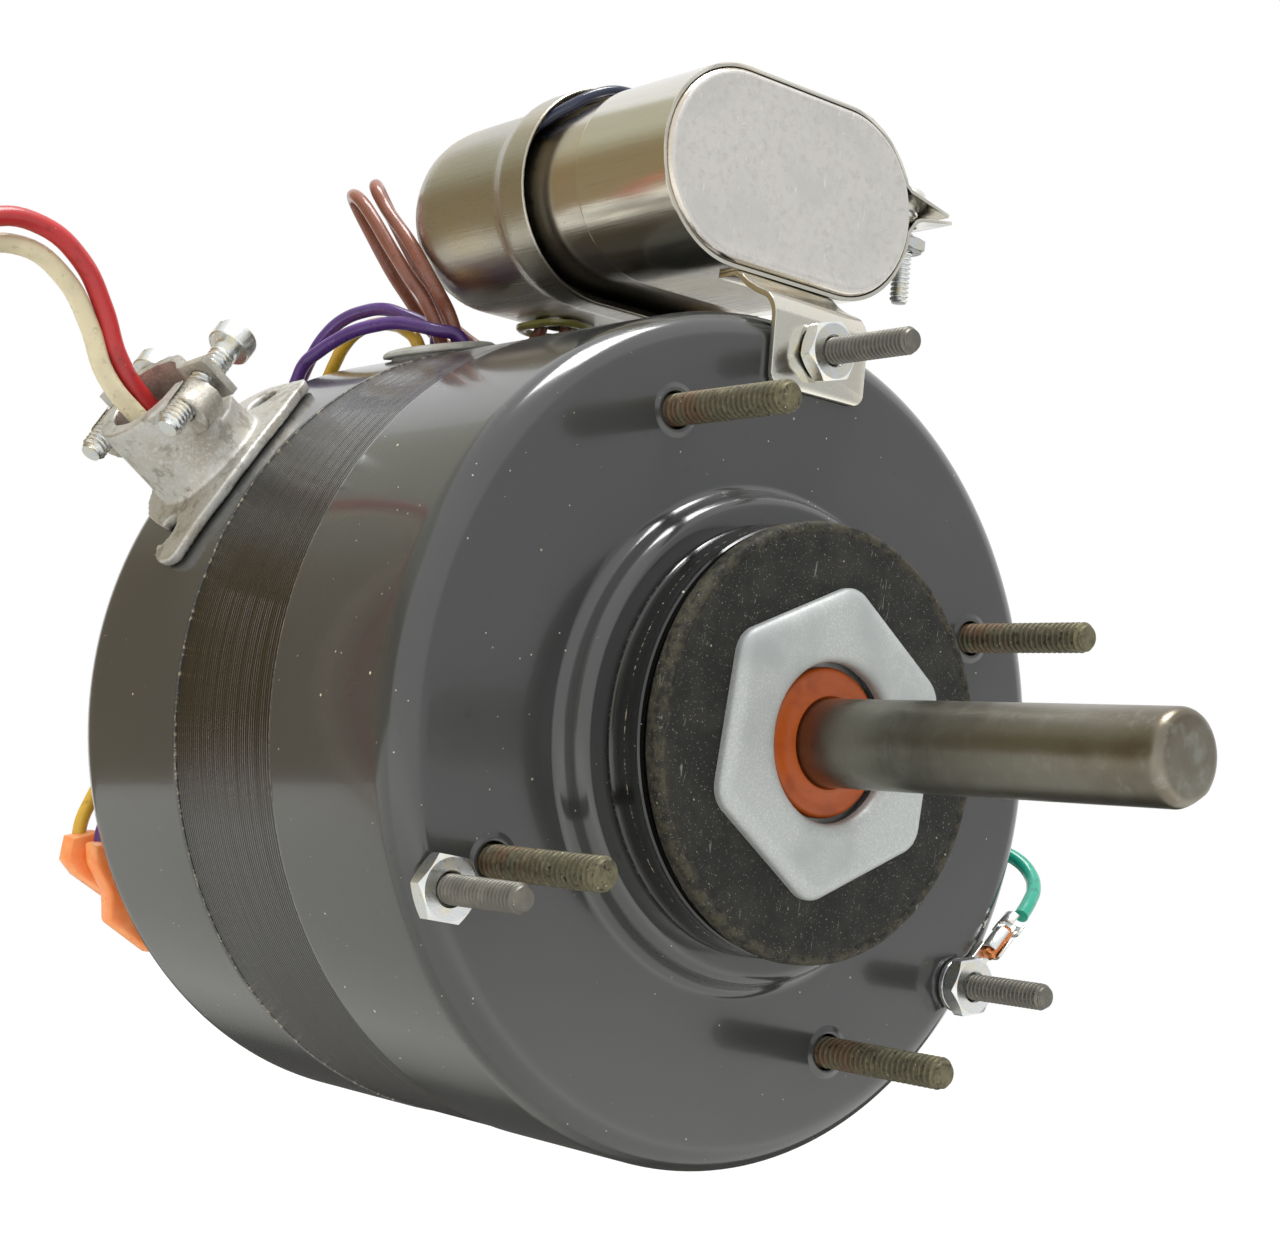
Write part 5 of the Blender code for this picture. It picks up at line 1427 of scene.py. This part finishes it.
def faded(name, axis, stops):
    """A glowing card whose colour changes along one axis; stops are (position in metres, colour)."""
    mat = surface(name, (1, 1, 1), 1.0)
    tree = mat.node_tree
    coord = tree.nodes.new("ShaderNodeTexCoord")
    parts = tree.nodes.new("ShaderNodeSeparateXYZ")
    tree.links.new(coord.outputs["Object"], parts.inputs["Vector"])
    first, last = stops[0][0], stops[-1][0]
    span = tree.nodes.new("ShaderNodeMapRange")
    span.inputs["From Min"].default_value, span.inputs["From Max"].default_value = first, last
    tree.links.new(parts.outputs[axis], span.inputs["Value"])
    ramp = tree.nodes.new("ShaderNodeValToRGB")
    for k, (position, colour) in enumerate(stops):
        place = (position - first) / (last - first)
        stop = ramp.color_ramp.elements[k] if k < 2 else ramp.color_ramp.elements.new(place)
        stop.position = place
        stop.color = (*colour, 1.0)
    tree.links.new(span.outputs["Result"], ramp.inputs["Fac"])
    tree.links.new(ramp.outputs["Color"], tree.nodes["Principled BSDF"].inputs["Emission Color"])
    return mat


def shaded_middle(mat):
    """Paint a soft shadow onto a floor, darkest under the object."""
    tree = mat.node_tree
    coord = tree.nodes.new("ShaderNodeTexCoord")
    away = tree.nodes.new("ShaderNodeVectorMath")
    away.operation = "LENGTH"
    ramp = tree.nodes.new("ShaderNodeMapRange")
    ramp.interpolation_type = "SMOOTHSTEP"
    ramp.inputs["From Min"].default_value, ramp.inputs["From Max"].default_value = 0.2, 0.65
    mix = tree.nodes.new("ShaderNodeMix")
    mix.data_type = "RGBA"
    # Colour of the painted shadow under the object.
    mix.inputs["A"].default_value = (0.5, 0.49, 0.47, 1.0)
    mix.inputs["B"].default_value = (0.9, 0.9, 0.885, 1.0)
    tree.links.new(coord.outputs["Object"], away.inputs[0])
    tree.links.new(away.outputs["Value"], ramp.inputs["Value"])
    tree.links.new(ramp.outputs["Result"], mix.inputs["Factor"])
    tree.links.new(mix.outputs["Result"], tree.nodes["Principled BSDF"].inputs["Base Color"])


def panel(name, mat, corners_m, camera_sees):
    """A flat studio surface; the ones that the camera does not see are only reflected."""
    mesh = bpy.data.meshes.new(name)
    mesh.from_pydata([Vector(p) for p in corners_m], [], [(0, 1, 2, 3)])
    mesh.materials.append(mat)
    obj = bpy.data.objects.new(name, mesh)
    bpy.context.scene.collection.objects.link(obj)
    if not camera_sees:
        obj.visible_camera = obj.visible_diffuse = obj.visible_shadow = False
    return obj


def upright(name, mat, start, end, top):
    """A card that stands on the floor between two (x, y) points and is only reflected."""
    feet = [(*start, FLOOR_Z_M), (*end, FLOOR_Z_M)]
    panel(name, mat, feet + [(*end, top), (*start, top)], False)


def area_light(name, at_m, aim_m, size_m, power):
    """A rectangular lamp that points at a spot, all in metres."""
    data = bpy.data.lights.new(name, "AREA")
    data.shape = "RECTANGLE"
    data.size, data.size_y = size_m
    data.energy = power
    obj = bpy.data.objects.new(name, data)
    bpy.context.scene.collection.objects.link(obj)
    way = Vector(aim_m) - Vector(at_m)
    obj.matrix_world = Matrix.Translation(at_m) @ way.to_track_quat("-Z", "Y").to_matrix().to_4x4()
    return obj


def studio():
    """White room, pale floor, three reflected cards and one soft lamp."""
    scene = bpy.context.scene
    scene.view_settings.view_transform = "Standard"
    scene.view_settings.look = "None"
    world = bpy.data.worlds.new("studio")
    scene.world = world
    world.use_nodes = True
    background = world.node_tree.nodes["Background"]
    background.inputs["Color"].default_value = (1.0, 1.0, 1.0, 1.0)
    background.inputs["Strength"].default_value = 1.0
    floor = surface("floor", (0.9, 0.9, 0.885))
    shaded_middle(floor)
    shader = floor.node_tree.nodes["Principled BSDF"]
    shader.inputs["Emission Color"].default_value = (1.0, 1.0, 0.98, 1.0)
    shader.inputs["Emission Strength"].default_value = 0.16
    side, z = 30, FLOOR_Z_M
    panel("floor", floor, [(-side, -side, z), (side, -side, z), (side, side, z), (-side, side, z)], True)
    tan, sage = (0.29, 0.225, 0.115), (0.56, 0.55, 0.43)
    wall = faded("wall", "Z", ((z, tan), (0.85, sage), (0.26, tan), (0.5, sage)))
    upright("wall_left", wall, (-1.6, -0.1), (-0.1, 0.95), 0.85)
    # Reflected-only card on the floor: a painted shadow of the table near the object, light far to -X, dim
    # under the object, dark from x = 0.12 m on.
    table, dim, dark = (1.0, 0.99, 0.94), (0.66, 0.66, 0.62), (0.02, 0.018, 0.014)
    stops = ((-1.6, table), (1.2, dark), (-0.4, table), (-0.1, dim), (0.01, dim), (0.12, dark))
    low = z + 0.002
    corners = [(-1.6, 0.0, low), (1.2, 0.0, low), (1.2, 1.6, low), (-1.6, 1.6, low)]
    panel("painted_table_shadow_card", faded("shade", "X", stops), corners, False)
    stops = ((z, (1.3, 1.3, 1.25)), (1.0, (0.5, 0.51, 0.52)))
    stops += ((-0.08, (1.0, 1.0, 0.98)), (0.16, (0.6, 0.61, 0.61)))
    upright("card_front", faded("front_card", "Z", stops), (0.3, -1.3), (1.5, -0.7), 1.0)
    area_light("overhead", (-0.1, -0.05, 1.0), (0, 0.03, 0), (0.5, 0.4), 9.0)


camera()
leads()
front_bell()
rear_bell()
lamination_stack()
hub()
shaft()
fasteners()
can()
boot()
strap()
strap_fastener()
clamp()
bushing("wire_bushing", "wire_grommet", AT_GROMMET, GROMMET_R, 6.9, NYLON)
bushing("green_bushing", "green_grommet", AT_GREEN, GREEN_GROMMET_R, 1.35, GROMMET_RUBBER)
jumpers()
insulators()
ground_terminal()
hidden_parts()
studio()
